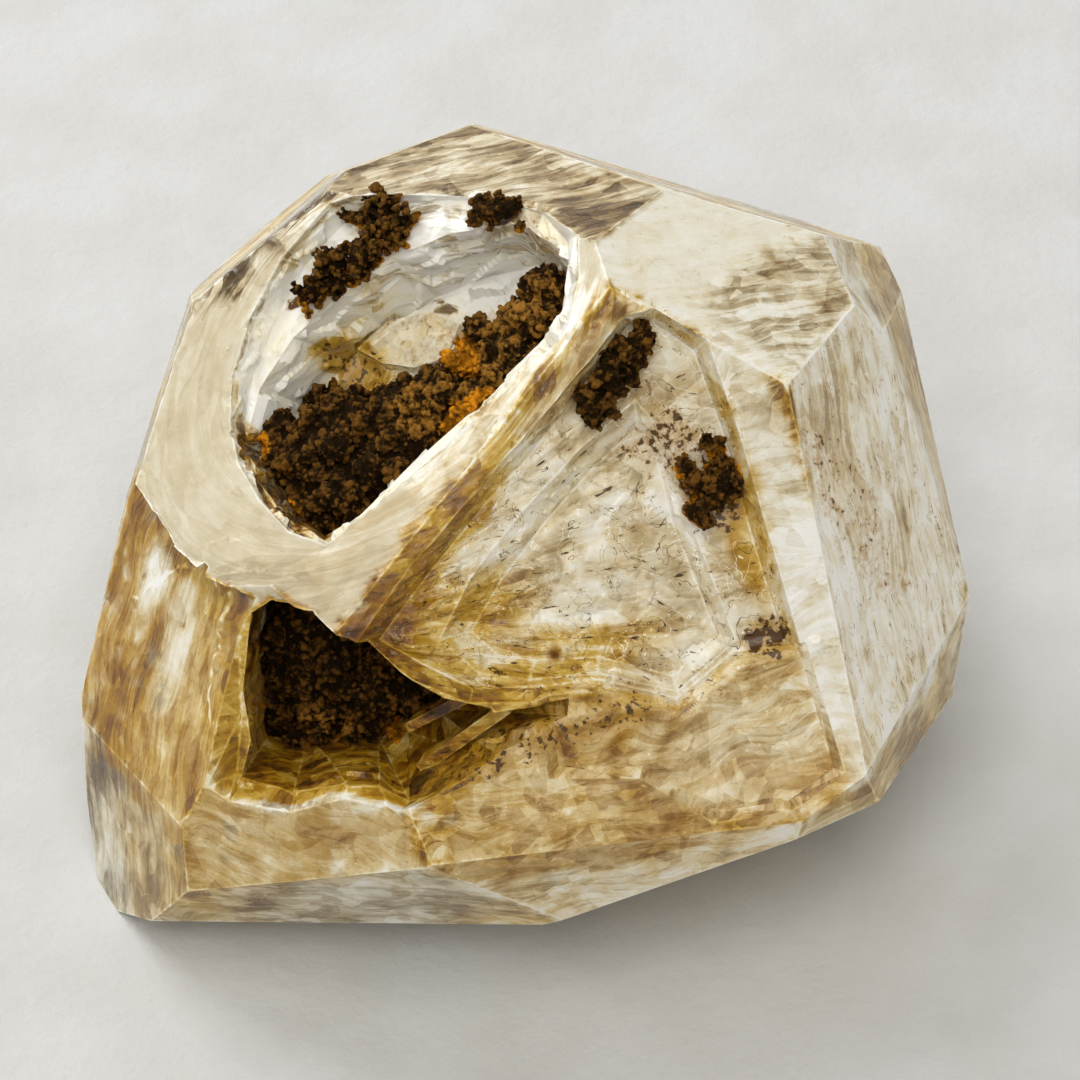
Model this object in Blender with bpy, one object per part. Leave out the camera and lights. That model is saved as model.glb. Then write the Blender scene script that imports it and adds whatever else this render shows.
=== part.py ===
"""Skeletal quartz: a stout clear crystal with flat outer faces, a stepped hollow in its upper left face,
a sunken front face, a deep hollow under the overhanging lower left rim, and brown earthy crusts in the hollows.

Lengths in the tables are millimetres from the crystal's centre. A direction is (azimuth, elevation) in degrees,
azimuth counted from +X towards +Y. Outlines lie square to a direction: u runs level, v runs up the slope and
the level counts outwards from the centre. At the end everything moves so that the crystal rests on Z = 0.
"""

import math

import bmesh
import bpy
from mathutils import Matrix, Vector, noise

MM = 0.001
GAP = 0.3
BLANK_SIDE = 90.0
OUTSIDE = 24.0

# Outer faces: azimuth, elevation, distance from the centre.
FACES = {
    "front": (-75.5, 42.5, 9.6),
    "upper_left": (-140.5, 61.0, 11.5),
    "top_right": (-9.0, 62.5, 14.5),
    "right": (-23.0, 31.0, 14.1),
    "lower_left": (-115.0, 27.5, 14.1),
    "left": (-150.0, 14.0, 18.3),
    "lower_front": (-79.0, 0.5, 15.3),
    "lower_corner": (-94.5, -15.5, 16.8),
    "corner": (-57.0, -3.5, 17.6),
    "right_chamfer": (-1.5, 22.5, 16.9),
    "right_low": (-25.5, 7.5, 17.4),
    "top_chamfer": (9.0, 36.5, 17.4),
    "left_back": (171.0, 17.0, 18.1),
    "upper_back": (143.0, 37.0, 18.2),
    "top_back": (117.5, 43.5, 18.5),
    "top_facet": (103.0, 71.0, 15.6),
    "top_back_right": (66.0, 45.0, 16.8),
    "under_front": (-88.0, -44.0, 16.7),
    "under_right": (-63.5, -40.0, 15.8),
    "right_under": (-36.0, -31.5, 18.4),
    "left_side": (174.5, 13.5, 18.4),
    "left_side_low": (-175.5, 2.0, 20.9),
    "bottom": (0.0, -90.0, 13.5),
    "back": (90.0, -13.0, 15.3),
    "back_low": (118.5, -65.0, 14.3),
    "back_right": (31.5, -24.0, 16.0),
    "back_left": (148.5, -24.0, 17.1),
}

UPPER = (-140.5, 61.0)
FRONT = (-75.5, 42.5)
LOWER = (-115.0, 27.5)
SIDE = (-154.8, 30.4)

# Upper hollow: a shallow shelf inside the rim, a basin, and a pit along the ridge where the crust sits.
RIM_LEVEL = 11.5
SHELF_LEVEL = 10.3
BASIN_LEVEL = 6.7
PIT_LEVEL = 5.5
SHELF_TOP = [
    (-1.1, -6.2), (-2.9, -6.9), (-5.1, -6.8), (-7.2, -6.3), (-9.0, -5.2), (-10.6, -3.6), (-11.9, -1.3),
    (-12.8, 1.5), (-12.9, 4.7), (-11.4, 6.7), (-9.2, 8.6), (-6.6, 10.4), (-4.4, 11.2), (-2.3, 10.9),
    (-0.6, 9.4), (0.5, 7.6), (0.6, 5.3), (0.4, 3.1), (0.1, 0.6), (-0.3, -1.9), (-0.7, -4.2),
]
SHELF_FLOOR = [
    (-1.6, -6.1), (-3.4, -6.7), (-5.6, -6.6), (-7.6, -5.9), (-9.2, -4.9), (-10.5, -3.1), (-11.6, -0.7),
    (-12.4, 2.0), (-12.4, 4.8), (-11.2, 6.5), (-9.2, 8.3), (-6.9, 9.9), (-4.9, 10.6), (-3.1, 10.3),
    (-1.5, 9.1), (-0.4, 7.3), (-0.2, 5.3), (-0.4, 3.0), (-0.7, 0.6), (-1.0, -1.8), (-1.3, -4.2),
]
BASIN_TOP = [
    (-2.0, -6.1), (-4.4, -6.6), (-6.6, -6.3), (-8.6, -5.2), (-9.8, -3.3), (-10.3, -0.7), (-10.0, 1.9),
    (-9.3, 4.8), (-7.8, 7.4), (-5.6, 9.6), (-3.2, 9.9), (-1.3, 8.3), (-0.7, 6.9), (-0.7, 3.7),
    (-1.1, 0.4), (-1.5, -2.9),
]
BASIN_FLOOR = [
    (-4.0, -5.7), (-5.8, -6.2), (-7.4, -5.9), (-8.6, -4.6), (-9.5, -2.6), (-9.7, 0.1), (-9.3, 2.4),
    (-8.5, 4.9), (-7.3, 7.0), (-5.6, 9.0), (-4.1, 9.2), (-2.7, 8.2), (-2.1, 6.8), (-2.1, 3.9),
    (-2.6, 0.6), (-3.1, -2.7),
]
PIT_TOP = [
    (-1.6, -6.1), (-4.8, -6.6), (-8.6, -5.6), (-8.8, -2.6), (-7.4, -0.2), (-5.8, 1.8), (-4.9, 4.6),
    (-5.2, 7.0), (-4.9, 9.4), (-2.4, 9.8), (-1.0, 8.0), (-0.7, 5.4), (-1.0, 1.4), (-1.4, -2.4),
]
PIT_FLOOR = [
    (-4.2, -5.9), (-6.2, -6.2), (-8.0, -5.2), (-8.2, -2.5), (-7.0, 0.0), (-5.6, 2.1), (-4.9, 4.6),
    (-5.1, 7.0), (-4.7, 8.9), (-3.4, 8.9), (-2.5, 7.4), (-2.4, 5.0), (-2.7, 1.2), (-3.4, -2.6),
]
LENS_PLATE = [(-9.5, 0.7), (-9.3, 2.6), (-8.0, 4.4), (-6.2, 4.9), (-5.3, 3.2), (-6.4, 1.7), (-7.9, 0.9)]
LENS_TOP = [(-9.4, 0.8), (-9.2, 2.6), (-7.9, 4.2), (-6.3, 4.7), (-5.6, 3.2), (-6.5, 1.9), (-7.9, 1.1)]
LENS_HEIGHT = 0.6
LONG_STEP_TOP = [
    (-8.6, 9.9), (-6.6, 11.7), (-4.2, 12.9), (-2.0, 13.2), (-1.0, 12.2), (-2.6, 11.5), (-5.2, 11.0),
]
LONG_STEP_DEPTH = 0.7

# Sunken front face: a first step all round, a deeper window in it, and a low ledge towards the bottom edge.
FRONT_LEVEL = 9.6
RECESS_LEVEL = 8.5
WINDOW_LEVEL = 7.6
LEDGE_LEVEL = 9.2
RECESS_TOP = [
    (-10.3, -1.5), (-7.2, 1.4), (-4.0, 4.0), (-0.9, 6.3), (1.9, 8.6), (3.5, 10.1), (5.0, 10.3), (7.0, 8.5),
    (7.7, 4.4), (8.3, -0.5), (8.9, -5.6), (6.1, -5.7), (3.2, -7.4), (-0.2, -5.6), (-2.8, -5.4),
    (-5.8, -4.9), (-8.3, -3.2),
]
RECESS_FLOOR = [
    (-9.0, -1.6), (-6.4, 0.8), (-3.2, 3.5), (-0.2, 5.8), (2.5, 8.1), (4.0, 9.6), (5.1, 9.5), (6.6, 8.0),
    (7.3, 4.1), (7.8, -0.6), (8.4, -5.1), (6.1, -5.2), (3.3, -6.7), (0.1, -5.2), (-2.5, -5.0),
    (-5.4, -4.5), (-7.5, -2.9),
]
WINDOW_TOP = [
    (-6.4, -2.1), (-4.7, 0.2), (-2.1, 2.5), (1.0, 4.8), (3.7, 6.4), (4.9, 4.3), (5.1, 1.2), (6.3, -4.7),
    (3.4, -6.4), (0.1, -4.9), (-2.9, -4.6), (-5.0, -3.9),
]
WINDOW_FLOOR = [
    (-4.9, -2.2), (-3.3, -0.3), (-1.0, 1.8), (1.6, 3.8), (3.7, 5.1), (4.4, 3.6), (4.6, 0.8), (5.7, -4.4),
    (3.5, -5.9), (0.4, -4.4), (-2.4, -4.0), (-4.0, -3.4),
]
LEDGE_TOP = [
    (-2.9, -4.9), (-0.2, -5.0), (3.2, -6.8), (6.2, -5.2), (9.1, -5.2), (9.9, -11.2), (7.4, -12.4),
    (3.8, -12.2), (0.9, -9.6), (-3.0, -8.8),
]
LEDGE_FLOOR = [
    (-2.3, -4.9), (-0.1, -5.0), (3.3, -6.8), (6.3, -5.2), (8.8, -5.2), (9.5, -11.0), (7.3, -12.0),
    (4.1, -11.8), (1.2, -9.2), (-2.4, -8.4),
]

# Step under the upper rim on the left side, and the lower hollow: a sloping frame, then a deep pocket.
SIDE_LEVEL = 14.7
SIDE_STEP = [
    (-6.9, -3.9), (-5.9, -3.9), (-2.8, -4.1), (-0.5, -3.7), (2.4, -2.5), (4.3, -1.2), (6.7, -3.7),
    (5.4, -11.4), (3.2, -17.6), (-4.5, -19.3), (-9.5, -13.3), (-10.0, -5.1),
]
FRAME_LEVEL = 14.1
FRAME_FLOOR_LEVEL = 12.8
FRAME_TOP = [
    (-12.5, -0.9), (-10.5, -1.2), (-7.2, -1.0), (-4.7, -0.6), (-3.0, -0.8), (-0.8, -2.0), (0.6, -2.5),
    (0.6, -5.0), (0.2, -7.7), (-1.7, -8.0), (-4.0, -9.6), (-6.9, -10.2), (-8.0, -9.9), (-9.1, -7.0),
    (-10.1, -3.5), (-12.2, -2.4),
]
FRAME_FLOOR = [
    (-10.4, 0.1), (-9.2, -0.2), (-7.2, -0.3), (-5.0, -0.2), (-3.2, -0.8), (-0.8, -1.8), (0.4, -2.4),
    (0.4, -5.0), (-0.4, -7.4), (-2.1, -7.7), (-4.4, -9.2), (-6.9, -9.8), (-7.3, -9.5), (-7.6, -6.6),
    (-8.4, -3.2), (-9.9, -1.8),
]
POCKET_TOP_LEVEL = 12.9
POCKET_FLOOR_LEVEL = 6.4
POCKET_TOP = [
    (-8.0, -1.8), (-7.2, -0.9), (-5.0, -0.4), (-3.2, -0.8), (-0.8, -2.0), (1.3, -2.6), (4.4, -2.5),
    (14.8, 1.4), (5.0, -4.3), (0.8, -7.7), (-0.7, -7.5), (-2.2, -7.9), (-4.5, -9.3), (-7.0, -9.6),
    (-6.9, -7.7), (-7.7, -5.5),
]
POCKET_FLOOR = [
    (-9.6, -4.0), (-9.0, -3.0), (-7.3, -2.4), (-5.4, -2.2), (-3.4, -2.8), (-2.2, -3.4), (-1.2, -4.2),
    (-0.6, -4.9), (-1.2, -6.5), (-2.1, -8.1), (-3.4, -8.9), (-4.9, -9.4), (-6.7, -10.0), (-8.4, -10.2),
    (-8.9, -9.0), (-9.3, -7.2),
]

# Thin blades of quartz that stand in the shallow end of the lower hollow, and chips in the upper rim.
BLADE_LEVEL = 10.4
BLADES = {
    "long_blade": [(3.6, -3.3), (0.3, -7.6), (-0.1, -7.3), (3.1, -3.0)],
    "short_blade": [(1.9, -3.3), (-0.7, -5.9), (-1.0, -5.6), (1.5, -3.0)],
}
CHIP_DEPTH = 0.7
CHIPS = {
    "rim_chip_left": [(-7.7, -11.8), (-7.2, -10.7), (-6.8, -10.8), (-6.2, -12.1)],
    "rim_chip_middle": [(-5.4, -11.6), (-5.0, -10.4), (-4.7, -10.4), (-4.1, -11.9)],
}

# Crust lumps: u, v, level, radius.
UPPER_CRUST = [
    (-6.0, -5.4, 7.6, 1.6), (-4.6, -5.2, 7.6, 1.4), (-6.5, -3.8, 8.0, 2.0), (-4.2, -3.7, 7.9, 1.7),
    (-5.7, -2.2, 8.2, 1.8), (-3.8, -1.8, 8.1, 1.6), (-4.3, -0.4, 8.4, 1.6), (-2.8, -0.1, 8.2, 1.3),
    (-3.5, 1.4, 8.5, 1.5), (-2.2, 1.6, 8.3, 1.1), (-2.2, 2.9, 8.1, 1.1), (-2.2, 4.2, 8.1, 1.1),
    (-3.4, 4.7, 8.3, 1.2), (-2.3, 5.6, 8.5, 1.2), (-2.8, 6.5, 8.6, 1.3), (-2.5, 7.6, 8.7, 1.1),
    (-3.2, 8.3, 8.9, 1.0),
]
LOWER_CRUST = [
    (-8.8, -5.2, 7.2, 1.5), (-7.8, -3.9, 7.6, 1.6), (-6.1, -4.1, 7.6, 1.7), (-7.0, -6.0, 7.2, 1.6),
    (-8.2, -7.4, 7.0, 1.4), (-4.9, -5.6, 7.4, 1.6), (-6.2, -7.7, 7.0, 1.4), (-7.6, -9.0, 7.0, 1.1),
    (-3.4, -5.4, 7.5, 1.4), (-4.0, -7.3, 7.1, 1.2), (-2.2, -5.4, 7.3, 1.1),
]
# Smaller crust patches: direction, level of their underside, lumps.
PATCHES = {
    "crust_patch_top": (UPPER, 10.6, [
        (-11.3, 5.0, 10.8, 0.7), (-10.7, 5.6, 10.8, 0.8), (-10.1, 5.9, 10.8, 0.6), (-10.6, 4.8, 10.8, 0.8),
        (-10.9, 2.9, 10.8, 0.8), (-10.4, 3.6, 10.8, 0.8), (-10.9, 2.1, 10.8, 0.5), (-10.8, 1.5, 10.8, 0.45)]),
    "crust_patch_top_right": (UPPER, 10.6, [
        (-7.2, 9.1, 10.7, 0.45), (-6.5, 9.4, 10.7, 0.5), (-6.1, 9.8, 10.7, 0.4)]),
    "crust_patch_left": (UPPER, 7.0, [(-8.9, -2.0, 7.2, 0.5), (-8.6, -1.5, 7.2, 0.5)]),
    "crust_patch_ridge": (FRONT, 8.8, [
        (4.3, 8.9, 9.0, 0.6), (3.6, 8.3, 9.0, 0.7), (2.7, 7.5, 9.0, 0.7), (1.7, 6.8, 9.0, 0.6)]),
    "crust_patch_front": (FRONT, 8.8, [
        (6.3, 2.2, 8.9, 0.8), (6.8, 2.9, 8.9, 0.6), (5.9, 1.6, 8.9, 0.6)]),
}
PATCH_REACH = [(-5.0, -5.0), (5.0, -5.0), (5.0, 5.0), (-5.0, 5.0)]
ROUGHNESS = 0.22


def direction(azimuth, elevation):
    """The unit vector that points this way."""
    turn = math.radians(azimuth)
    rise = math.radians(elevation)
    return Vector((math.cos(rise) * math.cos(turn), math.cos(rise) * math.sin(turn), math.sin(rise)))


def placement(facing):
    """The matrix that takes (u, v, level) of a direction to the crystal's own axes."""
    out = direction(*facing)
    level = Vector((0.0, 0.0, 1.0)).cross(out).normalized()
    slope = out.cross(level)
    return Matrix((level, slope, out)).transposed()


def new_object(name, shape):
    """An object in the scene from a bmesh, still in millimetres."""
    bmesh.ops.recalc_face_normals(shape, faces=shape.faces)
    bmesh.ops.triangulate(shape, faces=shape.faces)
    mesh = bpy.data.meshes.new(name)
    shape.to_mesh(mesh)
    shape.free()
    made = bpy.data.objects.new(name, mesh)
    bpy.context.scene.collection.objects.link(made)
    return made


def hide(helper):
    """Marks an object as a cutter or other helper."""
    helper.hide_render = True
    helper.display_type = "WIRE"
    return helper


def flatten(target):
    """Splits the target's faces into triangles, so that the next Boolean meets only flat ones."""
    shape = bmesh.new()
    shape.from_mesh(target.data)
    bmesh.ops.dissolve_degenerate(shape, edges=shape.edges, dist=1e-4)
    bmesh.ops.triangulate(shape, faces=shape.faces)
    shape.to_mesh(target.data)
    shape.free()


def faced_body(name, faces):
    """A convex body bounded by the given outer faces."""
    shape = bmesh.new()
    bmesh.ops.create_cube(shape, size=BLANK_SIDE)
    for facing in faces.values():
        out = direction(facing[0], facing[1])
        every = shape.verts[:] + shape.edges[:] + shape.faces[:]
        cut = bmesh.ops.bisect_plane(
            shape, geom=every, dist=1e-6, plane_co=out * facing[2], plane_no=out, clear_outer=True
        )
        rim = [part for part in cut["geom_cut"] if isinstance(part, bmesh.types.BMEdge)]
        if rim:
            bmesh.ops.edgeloop_fill(shape, edges=rim)
    return new_object(name, shape)


def loft(name, facing, rings):
    """A closed body through rings of equal length, each (level, outline), from the outermost inwards."""
    place = placement(facing)
    shape = bmesh.new()
    loops = []
    for level, outline in rings:
        loops.append([shape.verts.new(place @ Vector((u, v, level))) for u, v in outline])
    shape.faces.new(loops[0])
    shape.faces.new(list(reversed(loops[-1])))
    for upper, lower in zip(loops, loops[1:]):
        for i in range(len(upper)):
            j = (i + 1) % len(upper)
            shape.faces.new((upper[i], lower[i], lower[j]))
            shape.faces.new((upper[i], lower[j], upper[j]))
    return new_object(name, shape)


def stepped_cut(name, facing, *rings):
    """A cutter that starts outside the crystal and narrows through the rings."""
    return loft(name, facing, [(OUTSIDE, rings[0][1]), *rings])


def inset(outline, gap):
    """The outline moved inwards by a gap."""
    area = sum(a[0] * b[1] - b[0] * a[1] for a, b in zip(outline, outline[1:] + outline[:1]))
    side = 1.0 if area > 0 else -1.0
    moved = []
    for i, point in enumerate(outline):
        before = Vector(outline[i - 1])
        here = Vector(point)
        after = Vector(outline[(i + 1) % len(outline)])
        along = (here - before).normalized() + (after - here).normalized()
        inward = Vector((-along.y, along.x)).normalized() * side
        moved.append(tuple(here + inward * gap))
    return moved


def lumps(name, facing, places):
    """Overlapping rough balls, each (u, v, level, radius)."""
    place = placement(facing)
    shape = bmesh.new()
    for u, v, level, radius in places:
        centre = place @ Vector((u, v, level))
        fineness = 3 if radius > 1.25 else 2
        ball = bmesh.ops.create_icosphere(shape, subdivisions=fineness, radius=radius)
        for vert in ball["verts"]:
            swell = noise.noise((vert.co + centre) * 0.9) + 0.5 * noise.noise((vert.co + centre) * 2.3)
            vert.co = centre + vert.co * (1.0 + ROUGHNESS * swell)
    return new_object(name, shape)


def combine(target, helper, operation):
    """Cuts, joins or trims the target with a helper, which stays as a hidden wire shape."""
    step = target.modifiers.new(helper.name, "BOOLEAN")
    step.operation = operation
    step.solver = "EXACT"
    step.object = hide(helper)
    step.use_self = operation == "INTERSECT"
    bpy.ops.object.select_all(action="DESELECT")
    target.select_set(True)
    bpy.context.view_layer.objects.active = target
    bpy.ops.object.modifier_apply(modifier=step.name)
    flatten(target)


def material(name, colour, roughness, clear):
    """A plain Principled material."""
    made = bpy.data.materials.new(name)
    made.use_nodes = True
    shader = made.node_tree.nodes["Principled BSDF"]
    shader.inputs["Base Color"].default_value = (*colour, 1.0)
    shader.inputs["Roughness"].default_value = roughness
    shader.inputs["Transmission Weight"].default_value = clear
    shader.inputs["IOR"].default_value = 1.544
    return made


def build_crystal():
    """The quartz with its hollows."""
    crystal = faced_body("quartz_crystal", FACES)
    cuts = (
        stepped_cut("side_step", SIDE, (SIDE_LEVEL, SIDE_STEP)),
        stepped_cut("upper_shelf", UPPER, (RIM_LEVEL, SHELF_TOP), (SHELF_LEVEL, SHELF_FLOOR)),
        stepped_cut("upper_basin", UPPER, (SHELF_LEVEL, BASIN_TOP), (BASIN_LEVEL, BASIN_FLOOR)),
        stepped_cut("upper_pit", UPPER, (SHELF_LEVEL, PIT_TOP), (PIT_LEVEL, PIT_FLOOR)),
        stepped_cut("long_step", UPPER, (RIM_LEVEL - LONG_STEP_DEPTH, LONG_STEP_TOP)),
        stepped_cut("front_recess", FRONT, (FRONT_LEVEL, RECESS_TOP), (RECESS_LEVEL, RECESS_FLOOR)),
        stepped_cut("front_window", FRONT, (RECESS_LEVEL, WINDOW_TOP), (WINDOW_LEVEL, WINDOW_FLOOR)),
        stepped_cut("front_ledge", FRONT, (FRONT_LEVEL, LEDGE_TOP), (LEDGE_LEVEL, LEDGE_FLOOR)),
        stepped_cut("lower_frame", LOWER, (FRAME_LEVEL, FRAME_TOP), (FRAME_FLOOR_LEVEL, FRAME_FLOOR)),
        stepped_cut("lower_pocket", LOWER, (POCKET_TOP_LEVEL, POCKET_TOP), (POCKET_FLOOR_LEVEL, POCKET_FLOOR)),
    )
    for cut in cuts:
        combine(crystal, cut, "DIFFERENCE")
    for name, outline in CHIPS.items():
        combine(crystal, stepped_cut(name, UPPER, (RIM_LEVEL - CHIP_DEPTH, outline)), "DIFFERENCE")
    for name, outline in BLADES.items():
        blade = loft(name, LOWER, [(BLADE_LEVEL, outline), (POCKET_FLOOR_LEVEL - 1.0, outline)])
        combine(crystal, blade, "UNION")
    plate = loft("lens_plate", UPPER, [(BASIN_LEVEL + LENS_HEIGHT, LENS_TOP), (BASIN_LEVEL - 1.0, LENS_PLATE)])
    combine(crystal, plate, "UNION")
    crystal.data.materials.append(material("quartz", (0.93, 0.9, 0.8), 0.08, 0.9))
    return crystal


def build_crusts():
    """The brown crusts: one in each hollow, and the smaller patches."""
    earth = (0.16, 0.08, 0.025)
    made = []
    hollows = (
        ("upper_hollow_crust", UPPER, UPPER_CRUST, (SHELF_LEVEL, PIT_TOP), (PIT_LEVEL, PIT_FLOOR)),
        ("lower_hollow_crust", LOWER, LOWER_CRUST, (POCKET_TOP_LEVEL, POCKET_TOP),
         (POCKET_FLOOR_LEVEL, POCKET_FLOOR)),
    )
    for name, facing, places, mouth, floor in hollows:
        crust = lumps(name, facing, places)
        rings = [(mouth[0], inset(mouth[1], GAP)), (floor[0] + GAP, inset(floor[1], GAP))]
        combine(crust, loft(name + "_room", facing, rings), "INTERSECT")
        made.append(crust)
    for name, (facing, base, places) in PATCHES.items():
        patch = lumps(name, facing, places)
        u, v = places[0][:2]
        outline = [(u + x, v + y) for x, y in PATCH_REACH]
        combine(patch, loft(name + "_room", facing, [(base + 4.0, outline), (base, outline)]), "INTERSECT")
        made.append(patch)
    for crust in made:
        crust.data.materials.append(material(crust.name, earth, 0.9, 0.0))
    return made


def rest_on_floor(crystal):
    """Moves every shape so that the crystal's box stands centred on the origin, and turns lengths to metres."""
    corners = [vert.co for vert in crystal.data.vertices]
    low = [min(corner[axis] for corner in corners) for axis in range(3)]
    high = [max(corner[axis] for corner in corners) for axis in range(3)]
    move = Matrix.Translation((-(low[0] + high[0]) / 2, -(low[1] + high[1]) / 2, -low[2]))
    for made in bpy.data.objects:
        made.data.transform(Matrix.Scale(MM, 4) @ move)


def main():
    """Clears the scene and builds every piece."""
    for old in list(bpy.data.objects):
        bpy.data.objects.remove(old, do_unlink=True)
    crystal = build_crystal()
    build_crusts()
    rest_on_floor(crystal)


main()
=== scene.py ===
"""Skeletal quartz on pale paper: a stout cloudy crystal with a crusted hollow above and a deep one below.

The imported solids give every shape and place. The crystal's own piece is a finer copy of its solid, with
striations, facets and chips worked into the surface, and its look kept as values at its points. Each crust is
its solid heaped with clods and grains. Lengths in the tables are millimetres from the crystal's centre, and
each area says which way it faces: u runs level, v runs up the slope and the level counts outwards.
"""

import logging
import math
from dataclasses import dataclass, field
from enum import Enum
from typing import Any, Mapping, Sequence

import bmesh
import bpy
import numpy as np
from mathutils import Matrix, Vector, kdtree


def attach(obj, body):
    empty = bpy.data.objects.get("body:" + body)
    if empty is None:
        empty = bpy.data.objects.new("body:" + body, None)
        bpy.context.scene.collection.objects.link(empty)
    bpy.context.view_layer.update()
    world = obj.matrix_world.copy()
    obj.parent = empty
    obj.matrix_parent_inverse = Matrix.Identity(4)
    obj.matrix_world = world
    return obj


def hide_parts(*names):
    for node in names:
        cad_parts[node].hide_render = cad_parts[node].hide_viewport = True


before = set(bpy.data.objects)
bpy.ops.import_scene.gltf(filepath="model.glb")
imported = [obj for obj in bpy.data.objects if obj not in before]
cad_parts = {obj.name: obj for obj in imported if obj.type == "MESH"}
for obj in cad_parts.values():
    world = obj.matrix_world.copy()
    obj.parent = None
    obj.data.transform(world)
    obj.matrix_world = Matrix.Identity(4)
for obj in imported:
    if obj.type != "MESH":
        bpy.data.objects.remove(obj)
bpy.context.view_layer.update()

LOG = logging.getLogger("skeletal_quartz")
Points = np.ndarray
Values = np.ndarray
Outline = Sequence[tuple[float, float]]
Triple = tuple[float, float, float]

MM = 0.001
CENTRE = np.array((0.7, -0.6, 13.5))
SEED = 20417


# ----- Places on the crystal -----


@dataclass(frozen=True)
class Facing:
    """A way the crystal faces, with a level and a slope axis square to it.

    Args:
        azimuth: Degrees from +X towards +Y.
        elevation: Degrees above the horizon.
    """

    azimuth: float
    elevation: float

    def axes(self) -> Points:
        """Returns the level, slope and outward axes as rows."""
        turn, rise = math.radians(self.azimuth), math.radians(self.elevation)
        out = np.array((math.cos(rise) * math.cos(turn), math.cos(rise) * math.sin(turn), math.sin(rise)))
        level = np.cross((0.0, 0.0, 1.0), out)
        level /= np.linalg.norm(level)
        return np.stack((level, np.cross(out, level), out))

    def local(self, points: Points) -> Points:
        """Returns (u, v, level) of points given in millimetres of the row frame."""
        return (points - CENTRE) @ self.axes().T


UPPER = Facing(-140.5, 61.0)
FRONT = Facing(-75.5, 42.5)
LOWER = Facing(-115.0, 27.5)
RIGHT = Facing(-23.0, 31.0)
TOP_RIGHT = Facing(-9.0, 62.5)
TOP_FACET = Facing(103.0, 71.0)
LEFT = Facing(-154.8, 30.4)
UNDER_LIP = Facing(-79.0, 0.5)


def ease(low: float, high: float, values: Values) -> Values:
    """Returns 0 below low, 1 above high and a smooth rise between them."""
    t = np.clip((values - low) / (high - low), 0.0, 1.0)
    return t * t * (3.0 - 2.0 * t)


def columns(*parts: Values) -> Points:
    """Returns rows of numbers made from equally long columns."""
    return np.stack(parts, axis=1)


def depth_in(outline: Outline, flat: Points) -> Values:
    """Returns how far each point lies inside an outline, negative outside.

    Args:
        outline: Corners in order.
        flat: Points as (u, v) rows.
    """
    corners = np.array(outline, float)
    nearest = np.full(len(flat), 1e9)
    odd = np.zeros(len(flat), bool)
    for a, b in zip(corners, np.roll(corners, -1, axis=0)):
        along = b - a
        t = np.clip(((flat - a) @ along) / (along @ along), 0.0, 1.0)
        nearest = np.minimum(nearest, np.linalg.norm(flat - (a + t[:, None] * along), axis=1))
        crosses = (a[1] > flat[:, 1]) != (b[1] > flat[:, 1])
        with np.errstate(divide="ignore", invalid="ignore"):
            reach = along[0] * (flat[:, 1] - a[1]) / along[1] + a[0]
        odd ^= crosses & (flat[:, 0] < reach)
    return np.where(odd, nearest, -nearest)


@dataclass(frozen=True)
class Zone:
    """A soft-edged area of the crystal, seen square to one facing, between two levels."""

    facing: Facing
    outline: Outline
    lowest: float
    highest: float
    soft: float = 0.5
    lean: float = -1.0

    def mask(self, points: Points, normals: Points | None = None) -> Values:
        """Finds how much each point belongs to the zone.

        Args:
            points: Places, in millimetres.
            normals: Which way the surface faces there, where the zone only takes surfaces that face its way.

        Returns:
            1 well inside the zone and 0 outside it.
        """
        local = self.facing.local(points)
        level = ease(self.lowest - 0.15, self.lowest + 0.15, local[:, 2])
        level *= 1.0 - ease(self.highest - 0.15, self.highest + 0.15, local[:, 2])
        found = np.flatnonzero(level > 0.0)
        mask = np.zeros(len(points))
        inside = depth_in(self.outline, local[found, :2])
        mask[found] = ease(-self.soft, self.soft, inside) * level[found]
        if normals is not None and self.lean > -1.0:
            mask *= ease(self.lean - 0.12, self.lean, normals @ self.facing.axes()[2])
        return mask


@dataclass(frozen=True)
class Spot:
    """A soft oval area of the crystal, seen square to one facing, between two levels."""

    facing: Facing
    u: float
    v: float
    along: float
    across: float
    turn: float
    lowest: float = 0.0
    highest: float = 20.0

    def mask(self, points: Points, normals: Points | None = None) -> Values:
        """Returns 1 at the middle, falling smoothly to 0 at the rim of the oval; normals play no part."""
        local = self.facing.local(points)
        turn = math.radians(self.turn)
        du, dv = local[:, 0] - self.u, local[:, 1] - self.v
        x = (du * math.cos(turn) + dv * math.sin(turn)) / self.along
        y = (dv * math.cos(turn) - du * math.sin(turn)) / self.across
        near = 1.0 - ease(0.35, 1.0, np.hypot(x, y))
        return near * (local[:, 2] > self.lowest) * (local[:, 2] < self.highest)


@dataclass(frozen=True)
class Trace:
    """A line drawn on the crystal, seen square to one facing, between two levels."""

    facing: Facing
    path: Outline
    lowest: float
    highest: float

    def distance(self, points: Points) -> Values:
        """Returns each point's distance from the line, or a large value off its levels."""
        local = self.facing.local(points)
        flat = local[:, :2]
        nearest = np.full(len(points), 9.0)
        for start, end in zip(self.path[:-1], self.path[1:]):
            a, along = np.array(start), np.subtract(end, start)
            t = np.clip((flat - a) @ along / (along @ along), 0.0, 1.0)
            nearest = np.minimum(nearest, np.linalg.norm(flat - (a + t[:, None] * along), axis=1))
        return np.where((local[:, 2] > self.lowest) & (local[:, 2] < self.highest), nearest, 9.0)


# ----- Repeatable roughness -----


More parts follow.
